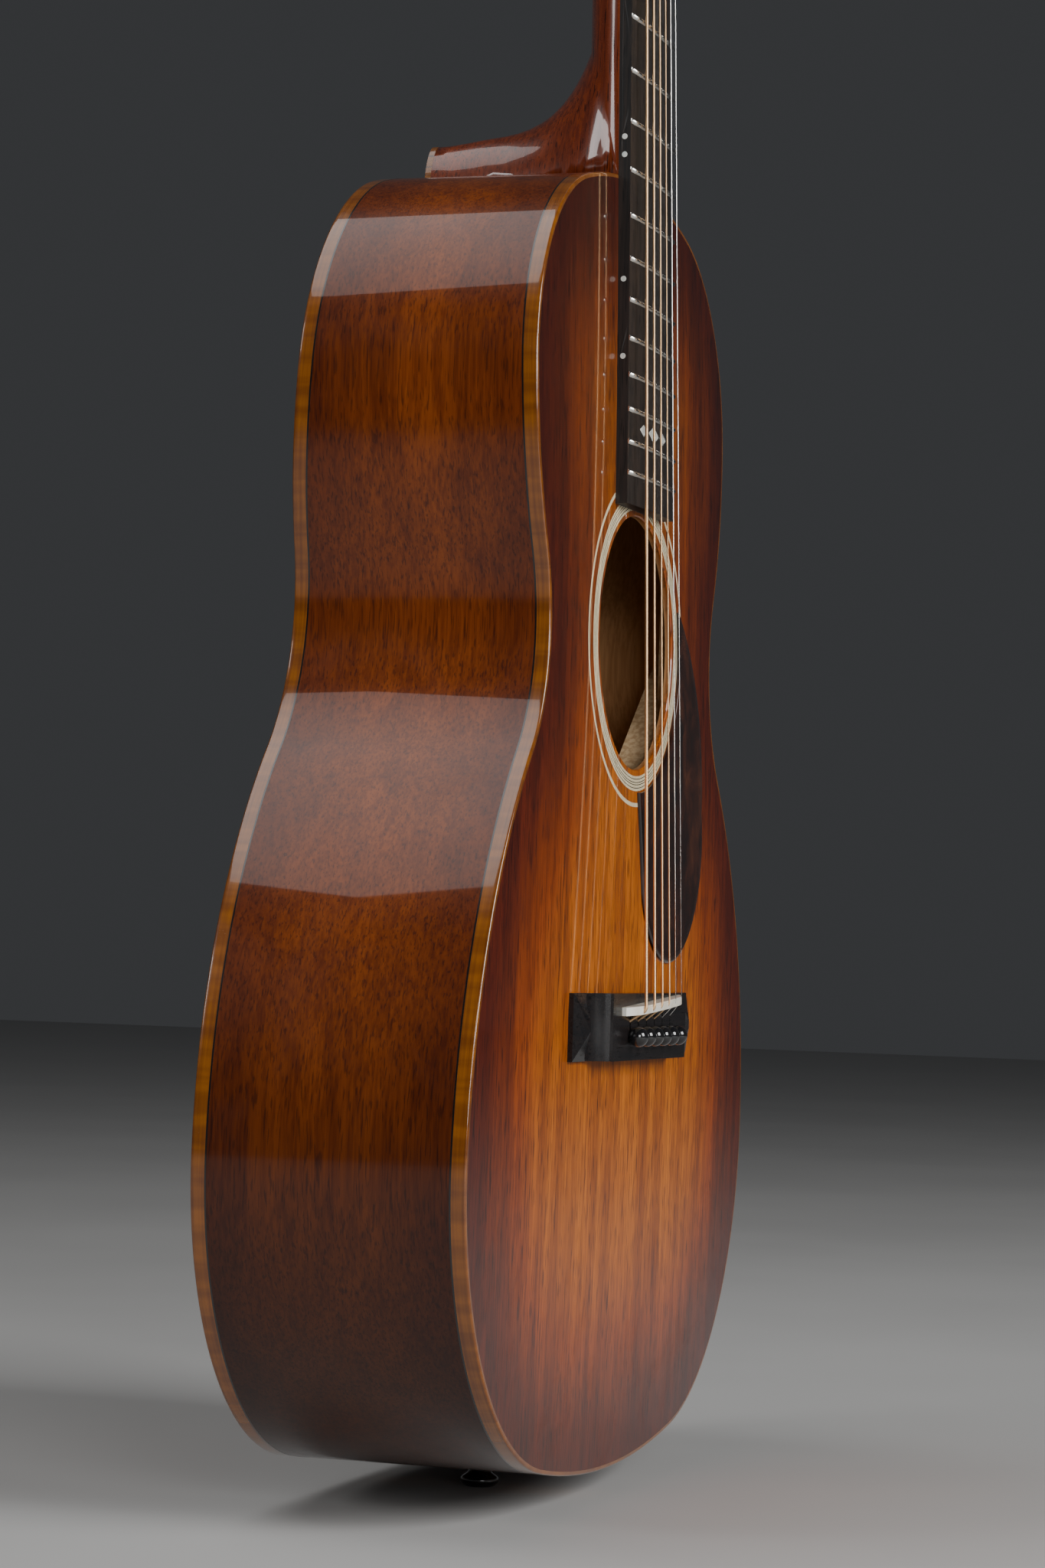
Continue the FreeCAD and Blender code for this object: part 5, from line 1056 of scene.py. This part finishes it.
@dataclass
class GuitarBody:
    """Soundboard, back, sides, bindings, graft, rosette and inner wood."""

    shape: BodyShape
    binding_mm: Pair = (1.6, 6.0)
    side_thickness_mm: float = 2.2
    back_thickness_mm: float = 2.6
    hole_radius_mm: float = 49.2
    hole_round_mm: float = 0.5
    rows: int = 44
    rings_mm: Tuple[Pair, ...] = ((51.7, 57.5), (62.1, 63.7))
    ring_proud_mm: float = 0.015
    graft_half_mm: Pair = (11.0, 7.0)

    def build(self) -> None:
        """Makes and dresses every piece of the body."""
        self.soundboard()
        self.back()
        for name, sign in (("side_treble", 1), ("side_bass", -1)):
            self.side(name, sign)
        self.binding("top_binding", self.shape.dome_y, 1.0)
        self.binding("back_binding", self.shape.arch_y, -1.0)
        self.graft()
        self.rosette()
        inner = {"x_braces": "spruce_rising", "top_braces": "spruce_across", "back_braces": "spruce_across",
                 "linings": "block", "neck_block": "block", "tail_block": "block", "bridge_plate": "maple",
                 "truss_rod": "steel"}
        for node, paint in inner.items():
            dress_node(node, paint)

    def plan_rows(self, inner_mm: float, amounts: np.ndarray) -> np.ndarray:
        """Plan points on lines from the outline to a circle about the soundhole, one row per amount.

        A point is the inset outline's point times one minus the amount, plus the circle's point in
        the same direction times the amount.
        """
        outer = self.shape.inset(self.binding_mm[0])
        hub = np.array([0.0, self.shape.hole_mm])
        ray = outer - hub
        circle = hub + ray / np.linalg.norm(ray, axis=1)[:, None] * inner_mm
        return outer[None] * (1 - amounts[:, None, None]) + circle[None] * amounts[:, None, None]

    def soundboard(self) -> None:
        """The domed plate as one closed band: face, hole wall, underside and rim."""
        fine = 1.0 - (1.0 - np.linspace(0.0, 1.0, self.rows)) ** 1.3
        face = self.plan_rows(self.hole_radius_mm + self.hole_round_mm, fine)
        lip = self.plan_rows(self.hole_radius_mm, np.array([1.0]))
        under = self.plan_rows(self.hole_radius_mm, np.linspace(1.0, 0.0, 12))
        thick = self.shape.top_thickness_mm
        plan = np.concatenate([face, lip, under])
        drop = np.concatenate([np.zeros(len(face)), [self.hole_round_mm], np.full(len(under), thick)])
        y = self.shape.dome_y(plan[..., 0], plan[..., 1]) + drop[:, None]
        inside = np.broadcast_to((np.arange(len(plan)) > len(face))[:, None] * 1.0, plan.shape[:2])
        numbers = {"edge": self.shape.edge_distance(plan), "inside": inside}
        surface = Surface(self.shape.at(plan, y), wrap_rows=True, numbers=numbers)
        surface.add("soundboard_plate", "top", "guitar", ("soundboard",))

    def back(self) -> None:
        """The arched plate: a face and an inside that meet at the rim, closed at a hub."""
        amounts = np.linspace(1.0, 0.0, self.rows)
        outside = self.plan_rows(0.4, amounts)
        inside = self.plan_rows(0.4, amounts[::-1][::3])
        plan = np.concatenate([outside, inside])
        drop = np.concatenate([np.zeros(len(outside)), np.full(len(inside), -self.back_thickness_mm)])
        y = self.shape.arch_y(plan[..., 0], plan[..., 1]) + drop[:, None]
        within = np.broadcast_to((np.arange(len(plan)) >= len(outside))[:, None] * 1.0, plan.shape[:2])
        numbers = {"edge": self.shape.edge_distance(plan), "inside": within}
        surface = Surface(self.shape.at(plan, y), caps=True, numbers=numbers)
        surface.add("back_plate", "back", "guitar", ("back",))

    def side(self, name: str, sign: int) -> None:
        """One bent side: a thin band that follows half the outline.

        The stored distance to the edge is the distance to the nearer binding.
        """
        half = self.shape.samples // 2
        keep = np.arange(half) if sign > 0 else np.arange(half, 2 * half)
        ends = np.array([0.0, 1.0]) if sign > 0 else np.array([1.0, 0.0])
        depth = self.binding_mm[1]
        outer = self.shape.inset(0.0)[keep]
        inner = self.shape.inset(self.side_thickness_mm)[keep]
        seam = self.shape.length_mm * ends
        outer[[0, -1], 0] = 0.0
        inner[[0, -1], 0] = 0.0
        outer[[0, -1], 1] = seam
        inner[[0, -1], 1] = seam + np.array([1.0, -1.0]) * self.side_thickness_mm * sign
        share = np.linspace(0.0, 1.0, 15)
        steps = np.concatenate([share, share[::-1]])
        plan = np.where((np.arange(30) < 15)[:, None, None], outer[None], inner[None])
        front = self.shape.dome_y(plan[..., 0], plan[..., 1]) + depth
        rear = self.shape.arch_y(plan[..., 0], plan[..., 1]) - depth
        y = front + (rear - front) * steps[:, None]
        near = np.minimum(steps, 1.0 - steps)[:, None] * (rear - front) * MM
        points = self.shape.at(plan, y).transpose(1, 0, 2)
        inside = np.broadcast_to((np.arange(30) >= 15) * 1.0, points.shape[:2])
        surface = Surface(points, caps=True, numbers={"edge": near.T, "inside": inside})
        surface.add(name + "_plate", "side", "guitar", (name,))

    def binding(self, node: str, level: Callable[..., np.ndarray], sign: float) -> None:
        """One binding strip with a rounded outer corner, carried round the outline."""
        wide, deep = self.binding_mm
        proud = 0.03
        rounding = np.linspace(0.0, math.pi / 2.0, 6)
        radius = 0.75
        corner_in = -proud + radius - radius * np.sin(rounding)
        corner_down = -proud + radius - radius * np.cos(rounding)
        steps = np.linspace(0.25, 1.0, 6)
        inset = np.concatenate([[wide, wide * 0.75], corner_in, np.full(6, -proud), [wide, wide]])
        down = np.concatenate([[-proud, -proud], corner_down, deep * steps, [deep, deep * 0.5]])
        plan = self.shape.edge[None] + self.shape.inward[None] * inset[:, None, None]
        y = level(plan[..., 0], plan[..., 1]) + sign * down[:, None]
        band = np.broadcast_to(np.clip(down / deep, 0.0, 1.0)[:, None], plan.shape[:2])
        run = np.broadcast_to(self.shape.run[None] * MM, plan.shape[:2])
        surface = Surface(self.shape.at(plan, y), wrap_rows=True, numbers={"band": band, "run": run})
        surface.add(node + "_strip", "binding", "guitar", (node,), 60.0)

    def graft(self) -> None:
        """The tapered wedge at the tail, a hair proud of the sides."""
        proud = 0.06
        share = np.linspace(0.0, 1.0, 20)
        half = self.graft_half_mm[0] + (self.graft_half_mm[1] - self.graft_half_mm[0]) * share
        across = np.concatenate([np.linspace(-1.0, 1.0, 9), np.linspace(1.0, -1.0, 9)])
        depth = np.concatenate([np.full(9, -proud), np.full(9, 1.0)])
        x = half[:, None] * across[None]
        bend = self.shape.tail_radius_mm - np.sqrt(self.shape.tail_radius_mm ** 2 - x ** 2)
        z = bend + depth[None]
        front = self.shape.dome_y(x, z) + self.binding_mm[1]
        rear = self.shape.arch_y(x, z) - self.binding_mm[1]
        y = front + (rear - front) * share[:, None]
        surface = Surface(self.shape.at(np.stack([x, z], -1), y), caps=True)
        surface.add("end_graft_wedge", "graft", "guitar", ("end_graft",))

    def rosette(self) -> None:
        """Two inlaid rings that follow the dome."""
        turn = np.linspace(0.0, 2 * math.pi, 360, endpoint=False)
        for name, (inner, outer) in zip(("rosette_inner", "rosette_outer"), self.rings_mm):
            radii = np.concatenate([np.linspace(inner, outer, 6), [outer, inner]])
            drop = np.concatenate([np.full(6, -self.ring_proud_mm), [1.0, 1.0]])
            circle = np.stack([np.cos(turn), np.sin(turn)], -1)
            plan = radii[:, None, None] * circle + np.array([0.0, self.shape.hole_mm])
            y = self.shape.dome_y(plan[..., 0], plan[..., 1]) + drop[:, None]
            Surface(self.shape.at(plan, y), wrap_rows=True).add(name, "rosette", "guitar", ("rosette",))


@dataclass
class Guard:
    """The teardrop pickguard, with a bevelled edge."""

    shape: BodyShape
    thickness_mm: float = 1.3
    ring_mm: float = 58.1
    tip_deg: float = 17.0
    foot_deg: float = -86.5
    hub_mm: Pair = (61.0, 258.0)
    bevel_mm: float = 0.7

    def arc(self, start: Pair, middle: Pair, end: Pair) -> np.ndarray:
        """Points of the circle through three points, from the first to the last."""
        a, b, c = (np.array(p, float) for p in (start, middle, end))
        rows = np.array([b - a, c - a])
        level = np.array([(b @ b - a @ a) / 2.0, (c @ c - a @ a) / 2.0])
        centre = np.linalg.solve(rows, level)
        angles = [math.atan2(*(p - centre)[::-1]) for p in (a, b, c)]
        first = (angles[1] - angles[0]) % (2 * math.pi)
        whole = (angles[2] - angles[0]) % (2 * math.pi)
        sweep = whole if first < whole else whole - 2 * math.pi
        turn = angles[0] + sweep * np.linspace(0.0, 1.0, 60, endpoint=False)
        return centre + np.linalg.norm(a - centre) * np.stack([np.cos(turn), np.sin(turn)], -1)

    def outline(self) -> np.ndarray:
        """The teardrop's edge, from its tip round to its tip."""
        def ring(angle: float) -> Pair:
            """A point of the circle that the guard follows."""
            turn = math.radians(angle)
            return (self.ring_mm * math.cos(turn), self.shape.hole_mm + self.ring_mm * math.sin(turn))

        tip, foot = ring(self.tip_deg), ring(self.foot_deg)
        low, bottom, left = (95.8, 256.0), (58.0, 195.2), (12.7, 221.2)
        return np.concatenate([self.arc(tip, (81.5, 309.3), low), self.arc(low, (89.0, 215.3), bottom),
                               self.arc(bottom, (28.5, 201.3), left), self.arc(left, (8.6, 240.5), foot),
                               self.arc(foot, ring((self.tip_deg + self.foot_deg) / 2.0), tip)])

    def build(self) -> None:
        """Makes the guard: a face, a bevel and a wall, closed at a hub."""
        edge = self.outline()
        hub = np.array(self.hub_mm)
        shrink = self.bevel_mm / 40.0
        amounts = np.concatenate([np.linspace(0.004, 1.0 - shrink, 16), [1.0 - shrink * 0.3, 1.0, 1.0]])
        lift = np.concatenate([np.full(16, 1.0), [0.86, 0.55, 0.0]]) * self.thickness_mm
        plan = hub + (edge - hub)[None] * amounts[:, None, None]
        y = self.shape.dome_y(plan[..., 0], plan[..., 1]) - lift[:, None] - 0.01
        surface = Surface(self.shape.at(plan, y), caps=True)
        surface.add("pickguard_plate", "guard", "guitar", ("pickguard",), 50.0)


@dataclass
class BridgeSet:
    """Bridge, saddle and six pins."""

    pin_head_mm: float = 3.9
    saddle_round_mm: float = 0.35
    pin_neck_mm: Tuple[Pair, ...] = ((2.75, 6.7), (2.45, 7.1), (2.45, 8.4), (2.4, 9.0))
    pin_tip_mm: Tuple[Pair, ...] = ((1.95, 0.7), (1.4, 0.05), (0.2, 0.0))

    def build(self) -> None:
        """Makes and dresses the bridge's pieces."""
        dressed_copy("bridge", "ebony_bridge", 12.0)
        dressed_copy("saddle", "bone", 40.0, round_mm=self.saddle_round_mm)
        for number in range(1, 7):
            self.pin(number)

    def pin(self, number: int) -> None:
        """A turned pin: a round head with a groove under it, and a tapered shaft."""
        node = f"bridge_pin_{number}"
        low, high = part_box(node)
        centre = np.array([(low.x + high.x) / 2.0, low.y, (low.z + high.z) / 2.0])
        length = (high.y - low.y) / MM
        turn = np.linspace(0.06, 2.25, 18)
        ball = [(self.pin_head_mm * math.sin(a), self.pin_head_mm * (1.0 - math.cos(a))) for a in turn]
        tip = [(radius, length - short) for radius, short in self.pin_tip_mm]
        profile = [(radius * MM, height * MM) for radius, height in (*ball, *self.pin_neck_mm, *tip)]
        surface = lathe(profile, centre, np.array([0.0, 1.0, 0.0]), 40)
        surface.add(node + "_turned", "pin", f"string_pin_{number}", (node,), 40.0)


@dataclass
class NeckSet:
    """Neck, fingerboard, frets, nut, inlays, heel cap and headstock face."""

    pieces: Dict[str, Tuple[str, float]] = field(default_factory=lambda: {
        "neck": ("neck", 30.0), "fingerboard": ("ebony_board", 10.0), "frets": ("nickel", 50.0),
        "nut": ("bone", 30.0), "inlays": ("pearl", 30.0), "heel_cap": ("graft", 30.0),
        "headstock_veneer": ("veneer", 30.0),
    })

    def build(self) -> None:
        """Dresses the neck's pieces: each has a finish and a crease angle."""
        for node, (paint, crease) in self.pieces.items():
            dressed_copy(node, paint, crease)


@dataclass
class TunerSet:
    """Plates, screws, rollers, gears, worms and buttons."""

    head_angle_deg: float = 15.63
    button_mm: Tuple[float, float, float] = (8.4, 9.6, 3.9)
    crease: float = 30.0
    collar_mm: Tuple[Pair, ...] = ((1.6, 0.0), (3.3, 0.4), (3.3, 1.6), (2.4, 2.8), (2.7, 5.6), (2.9, 7.5))

    def build(self) -> None:
        """Makes and dresses the tuners."""
        dressed_copy("tuner_plates", "nickel", self.crease)
        dressed_copy("tuner_screws", "nickel", self.crease)
        for number in range(1, 7):
            post, key = f"tuner_post_{number}", f"tuner_key_{number}"
            dressed_copy(f"tuner_roller_{number}", "nickel", self.crease, post)
            dressed_copy(f"tuner_gear_{number}", "brass", self.crease, post)
            dressed_copy(f"tuner_worm_{number}", "steel", self.crease, key)
            self.button(number, key)

    def button(self, number: int, body: str) -> None:
        """A cushion-shaped button: a squared oval whose thickness falls off towards its edge.

        In its own axes a point is (thin times the cube-like sine, wide times cosine, long times
        sine), which is a superellipsoid.
        """
        node = f"tuner_button_{number}"
        low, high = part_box(node)
        tilt = math.radians(self.head_angle_deg)
        back = np.array([0.0, math.cos(tilt), -math.sin(tilt)])
        up = np.array([0.0, math.sin(tilt), math.cos(tilt)])
        corner = np.array([(low.x + high.x) / 2.0, high.y, low.z])
        middle = np.array([corner[0], (low.y + high.y) / 2.0, (low.z + high.z) / 2.0]) + back * 0.0012
        long, wide, thin = (v * MM for v in self.button_mm)
        latitude = np.linspace(-1.52, 1.52, 25)[:, None]
        longitude = np.linspace(0.0, 2 * math.pi, 48, endpoint=False)[None]

        def power(value: np.ndarray, exponent: float) -> np.ndarray:
            """Keeps the sign and raises the size."""
            return np.sign(value) * np.abs(value) ** exponent

        sideways = thin * power(np.sin(latitude), 0.62) * np.ones_like(longitude)
        reach = power(np.cos(latitude), 0.62)
        away = long * reach * power(np.cos(longitude), 0.9)
        along = wide * reach * power(np.sin(longitude), 0.9) * 0.88
        points = (middle + sideways[..., None] * np.array([1.0, 0.0, 0.0])
                  + away[..., None] * back + along[..., None] * up)
        Surface(points, caps=True).add(node + "_cushion", "button", body, (node,), 60.0)
        base = middle - back * (long + 0.0048)
        stem = lathe([(radius * MM, height * MM) for radius, height in self.collar_mm], base, back, 32)
        stem.add(node + "_collar", "nickel", body, (), 50.0)


@dataclass
class EndPin:
    """The turned pin in the tail."""

    profile_mm: Tuple[Pair, ...] = (
        (0.05, 0.0), (5.6, 0.0), (7.4, 1.6), (7.4, 3.6), (5.2, 5.0), (4.2, 6.4),
        (4.3, 9.6), (6.0, 10.2), (6.2, 11.1), (4.9, 11.3), (4.7, 27.5), (0.05, 28.0))

    def build(self) -> None:
        """Makes the pin."""
        low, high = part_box("end_pin")
        centre = np.array([(low.x + high.x) / 2.0, (low.y + high.y) / 2.0, low.z])
        surface = lathe(round_profile(self.profile_mm), centre, np.array([0.0, 0.0, 1.0]), 56)
        surface.add("end_pin_turned", "pin", "guitar", ("end_pin",), 45.0)


# ---- strings -----------------------------------------------------------------------------------
@dataclass
class NeckLines:
    """Places on the neck and headstock, and the route that each string takes over them.

    String 6 is the thick one, and comes first in every tuple.
    """

    shape: BodyShape
    scale_mm: float = 632.5
    glue_chord_mm: float = 110.0
    head_angle_deg: float = 14.0
    veneer_mm: float = 2.0
    nut_mm: float = 6.0
    nut_spread_mm: float = 36.5
    saddle_spread_mm: float = 54.5
    board_mm: float = 5.8
    board_radius_mm: float = 406.4
    fret_mm: float = 1.1
    nut_gap_mm: float = 0.35
    action_mm: Pair = (2.4, 1.9)
    longer_mm: Pair = (6.0, 2.6)
    pin_mm: float = 166.5
    slot_ahead_mm: float = 2.62
    ramp_mm: float = 4.95
    ball_below_mm: float = 7.32
    roller_heights_mm: Tuple[float, ...] = (38.0, 73.0, 108.0)
    roller_depth_mm: float = 8.0
    roller_radius_mm: float = 3.12
    winding_mm: Tuple[float, ...] = (16.4, 16.2, 17.8)
    diameters_mm: Tuple[float, ...] = (1.35, 1.07, 0.81, 0.61, 0.43, 0.33)

    def __post_init__(self) -> None:
        """Works out the neck's and the headstock's own axes."""
        end = self.shape.length_mm
        rise = self.shape.dome_y(0.0, end) - self.shape.dome_y(0.0, end - self.glue_chord_mm)
        self.lean = math.atan2(rise, self.glue_chord_mm)
        self.joined = self.scale_mm / 2.0
        self.neck_back, self.neck_up = self.axes(self.lean)
        self.head_back, self.head_up = self.axes(self.lean + math.radians(self.head_angle_deg))
        self.nut_front = np.array([0.0, self.shape.dome_y(0.0, end), end]) + self.neck_up * self.joined
        self.head_start = self.nut_front - self.neck_back * self.veneer_mm + self.neck_up * self.nut_mm

    @staticmethod
    def axes(angle: float) -> Tuple[np.ndarray, np.ndarray]:
        """The directions into the wood and up the wood for a lean."""
        return (np.array([0.0, math.cos(angle), -math.sin(angle)]),
                np.array([0.0, math.sin(angle), math.cos(angle)]))

    def on_neck(self, x: float, depth: float, up: float) -> np.ndarray:
        """A point from its place in the neck's axes."""
        return self.nut_front + np.array([x, 0.0, 0.0]) + self.neck_back * depth + self.neck_up * up

    def on_head(self, x: float, depth: float, up: float) -> np.ndarray:
        """A point from its place in the headstock's axes."""
        return self.head_start + np.array([x, 0.0, 0.0]) + self.head_back * depth + self.head_up * up

    def playing_depth(self, x: float, above: float) -> float:
        """Depth of a line above the arched board."""
        return -(self.board_mm - x * x / (2.0 * self.board_radius_mm)) - self.fret_mm - above

    def corners(self, index: int) -> List[np.ndarray]:
        """Ball end, bridge, saddle, nut front, nut back and the first touch of the roller."""
        share = index / 5.0
        radius = self.diameters_mm[index] / 2.0
        nut_x = self.nut_spread_mm * (share - 0.5)
        saddle_x = self.saddle_spread_mm * (share - 0.5)
        action = self.action_mm[0] + (self.action_mm[1] - self.action_mm[0]) * share
        length = self.scale_mm + self.longer_mm[0] + (self.longer_mm[1] - self.longer_mm[0]) * share
        nut_y = self.playing_depth(nut_x, self.nut_gap_mm + radius)
        join_y = self.playing_depth((nut_x + saddle_x) / 2.0, action + radius)
        saddle_y = nut_y + (join_y - nut_y) * length / self.joined
        slot = self.pin_mm + self.slot_ahead_mm + radius
        ball = self.shape.dome_y(saddle_x, slot) + self.ball_below_mm
        side, place = (-1.0, index) if index < 3 else (1.0, 5 - index)
        wound = self.roller_radius_mm + radius
        roller_x = side * (self.winding_mm[place] + 4.0 * radius)
        return [np.array([saddle_x, ball, slot]), np.array([saddle_x, -self.ramp_mm, slot]),
                self.on_neck(saddle_x, saddle_y, -length), self.on_neck(nut_x, nut_y, 0.0),
                self.on_neck(nut_x, nut_y, self.nut_mm),
                self.on_head(roller_x, self.roller_depth_mm - wound, self.roller_heights_mm[place])]

    def turns(self, index: int, step_mm: float, turns: float) -> np.ndarray:
        """The string's turns on its roller: a circle about X whose x moves in by a diameter a turn."""
        radius = self.diameters_mm[index] / 2.0
        side, place = (-1.0, index) if index < 3 else (1.0, 5 - index)
        wound = self.roller_radius_mm + radius
        count = int(turns * 2.0 * math.pi * wound / step_mm)
        angle = np.linspace(0.0, turns * 2.0 * math.pi, count)[1:, None]
        x = side * (self.winding_mm[place] + 4.0 * radius - angle / (2.0 * math.pi) * 2.04 * radius)
        middle = self.on_head(0.0, self.roller_depth_mm, self.roller_heights_mm[place])
        circle = -np.cos(angle) * self.head_back + np.sin(angle) * self.head_up
        return middle + x * np.array([1.0, 0.0, 0.0]) + wound * circle

    def frame_point(self, points: np.ndarray) -> np.ndarray:
        """Frame points, in metres, from the body's millimetres."""
        return self.shape.at(points[..., [0, 2]], points[..., 1])


@dataclass
class StringSet:
    """Six strings on their real route, four of them wound."""

    lines: NeckLines
    wraps_mm: Tuple[float, ...] = (0.40, 0.33, 0.27, 0.22, 0.0, 0.0)
    wrap_depth: float = 0.16
    bend_mm: float = 1.4
    roller_turns: float = 3.9
    plain_step_mm: float = 1.5
    ball_mm: Tuple[Pair, ...] = ((0.3, 0.0), (1.9, 0.0), (1.9, 0.9), (1.3, 1.2), (1.3, 2.4), (1.9, 2.7),
                                 (1.9, 3.6), (0.3, 3.6))

    def build(self) -> None:
        """Makes each string and its ball end."""
        for index in range(6):
            self.string(index)

    def path(self, index: int, step: float) -> np.ndarray:
        """Points along a string at an even step.

        Each corner is a quadratic curve between points on its two straight runs.
        """
        corners = self.lines.corners(index)
        points = [corners[0][None]]
        share = np.linspace(0.0, 1.0, 9)[:, None]
        for before, corner, after in zip(corners[:-2], corners[1:-1], corners[2:]):
            first = corner + (before - corner) / np.linalg.norm(before - corner) * self.bend_mm
            last = corner + (after - corner) / np.linalg.norm(after - corner) * self.bend_mm
            points.append((1 - share) ** 2 * first + 2 * share * (1 - share) * corner + share ** 2 * last)
        points.append(corners[-1][None])
        points.append(self.lines.turns(index, 0.25, self.roller_turns))
        rough = np.concatenate(points)
        gaps = np.linalg.norm(np.diff(rough, axis=0), axis=1)
        along = np.concatenate([[0.0], np.cumsum(gaps)])
        if step < 1.0:
            place = np.linspace(0.0, along[-1], int(along[-1] / step))
        else:
            straight = np.linspace(0.0, along[-1], int(along[-1] / step))
            place = np.union1d(np.round(straight, 4), np.round(along[:-1][gaps < 1.0], 4))
        return np.stack([np.interp(place, along, rough[:, axis]) for axis in range(3)], -1)

    def string(self, index: int) -> None:
        """One string as a tube.

        A wound string's radius falls and rises once per wrap, and the place of the fall turns with
        the angle, which makes a helix.
        """
        radius = self.lines.diameters_mm[index] / 2.0
        wrap = self.wraps_mm[index]
        wound = wrap > 0.0
        path = self.path(index, wrap / 4.0 if wound else self.plain_step_mm)
        sides = 9 if wound else 10
        tangent = np.gradient(path, axis=0)
        tangent /= np.linalg.norm(tangent, axis=1)[:, None]
        across = np.array([1.0, 0.0, 0.0]) - tangent[:, :1] * tangent
        across /= np.linalg.norm(across, axis=1)[:, None]
        up = np.cross(tangent, across)
        turn = np.linspace(0.0, 2.0 * math.pi, sides, endpoint=False)
        reach = np.full((len(path), sides), radius)
        if wound:
            gaps = np.linalg.norm(np.diff(path, axis=0), axis=1)
            along = np.concatenate([[0.0], np.cumsum(gaps)])
            phase = 2.0 * math.pi * along[:, None] / wrap - turn[None]
            reach = radius - self.wrap_depth * wrap * (0.5 - 0.5 * np.cos(phase))
        ring = across[:, None] * np.cos(turn)[None, :, None] + up[:, None] * np.sin(turn)[None, :, None]
        points = self.lines.frame_point(path[:, None] + reach[..., None] * ring)
        number = 6 - index
        paint = "bronze" if wound else "plain_steel"
        Surface(points, caps=True).add(f"string_{number}", paint, "guitar", ("strings",), 80.0)
        ball = path[0] + np.array([0.0, 0.0, -radius - 0.7])
        centre = self.lines.frame_point(ball) + np.array([-0.0018, 0.0, 0.0])
        barrel = lathe(round_profile(self.ball_mm, 4), centre, np.array([1.0, 0.0, 0.0]), 28)
        barrel.add(f"string_ball_{number}", "ball", "guitar", (), 40.0)


# ---- studio --------------------------------------------------------------------------------------
@dataclass(frozen=True)
class Softbox:
    """A square soft light: its place, what it faces, its side in metres and its power in watts."""

    name: str
    place: Tuple[float, float, float]
    target: Tuple[float, float, float]
    size: float
    power: float

    def build(self) -> None:
        """Makes the light."""
        lamp = bpy.data.lights.new(self.name, "AREA")
        lamp.shape = "SQUARE"
        lamp.size = self.size
        lamp.energy = self.power
        piece = bpy.data.objects.new(self.name, lamp)
        piece.location = self.place
        aim = Vector(self.target) - Vector(self.place)
        piece.rotation_euler = aim.to_track_quat("-Z", "Y").to_euler()
        bpy.context.scene.collection.objects.link(piece)
        piece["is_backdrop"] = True


@dataclass
class Studio:
    """Floor, lights and camera."""

    camera_place: Tuple[float, float, float] = (-1.4600, -0.43532, -0.11928)
    yaw_deg: float = 71.833
    pitch_deg: float = 2.376
    roll_deg: float = 1.776
    lens: float = 90.1
    floor_half: float = 7.0
    air: Tuple[float, float, float, float] = (0.80, 0.83, 0.88, 1.0)
    air_strength: float = 0.05
    lights: Tuple[Softbox, ...] = (
        Softbox("key", (-0.5, -2.4, 1.0), (0.0, 0.0, -0.1), 1.3, 66.0),
        Softbox("left", (-2.3, -1.5, 0.5), (0.0, 0.0, 0.0), 1.0, 26.0),
        Softbox("overhead", (-0.6, 0.72, 1.75), (-0.12, 0.05, 0.0), 1.35, 12.0),
        Softbox("rear", (-1.85, 1.65, 0.95), (0.0, 0.03, 0.2), 0.6, 9.0),
    )

    def build(self) -> None:
        """Makes the stage and the camera."""
        self.floor()
        for softbox in self.lights:
            softbox.build()
        world = bpy.data.worlds.new("studio")
        world.use_nodes = True
        background = world.node_tree.nodes["Background"]
        background.inputs["Color"].default_value = self.air
        background.inputs["Strength"].default_value = self.air_strength
        bpy.context.scene.world = world
        self.camera()

    def floor(self) -> None:
        """A pale, flat floor at the height of the guitar's lowest point."""
        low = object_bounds()[0][2]
        paint = Paint("studio_floor", Specular_IOR_Level=0.2)
        mottle = paint.noise(paint.place(paint.objects(), (3, 3, 3)), 1.0, 4.0)
        paint.colour(paint.mix(mottle, (0.50, 0.495, 0.485), (0.55, 0.545, 0.535)))
        paint.roughness(paint.span(mottle, 0.3, 0.7, 0.6, 0.75))
        half = self.floor_half
        corners = [(-half, -half, low), (half, -half, low), (half, half, low), (-half, half, low)]
        mesh = bpy.data.meshes.new("floor")
        mesh.from_pydata(corners, [], [(0, 1, 2, 3)])
        mesh.materials.append(paint.material)
        piece = bpy.data.objects.new("floor", mesh)
        bpy.context.scene.collection.objects.link(piece)
        piece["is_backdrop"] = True

    def camera(self) -> None:
        """A camera from its place, its yaw and pitch, and its roll about the line of sight."""
        yaw, pitch, roll = (math.radians(a) for a in (self.yaw_deg, self.pitch_deg, self.roll_deg))
        ahead = Vector((math.sin(yaw) * math.cos(pitch), math.cos(yaw) * math.cos(pitch), math.sin(pitch)))
        level = Vector((math.cos(yaw), -math.sin(yaw), 0.0))
        rise = level.cross(ahead)
        right = level * math.cos(roll) + rise * math.sin(roll)
        up = rise * math.cos(roll) - level * math.sin(roll)
        lens = bpy.data.cameras.new("camera")
        lens.lens = self.lens
        lens.sensor_width = 36.0
        lens.sensor_fit = "AUTO"
        lens.clip_end = 50.0
        piece = bpy.data.objects.new("camera", lens)
        turn = Matrix((right, up, -ahead)).transposed().to_4x4()
        piece.matrix_world = Matrix.Translation(self.camera_place) @ turn
        bpy.context.scene.collection.objects.link(piece)
        bpy.context.scene.camera = piece


def main() -> None:
    """Builds every piece, then the studio."""
    shape = BodyShape()
    GuitarBody(shape).build()
    Guard(shape).build()
    BridgeSet().build()
    NeckSet().build()
    TunerSet().build()
    EndPin().build()
    StringSet(NeckLines(shape)).build()
    Studio().build()


if __name__ == "__main__":
    main()
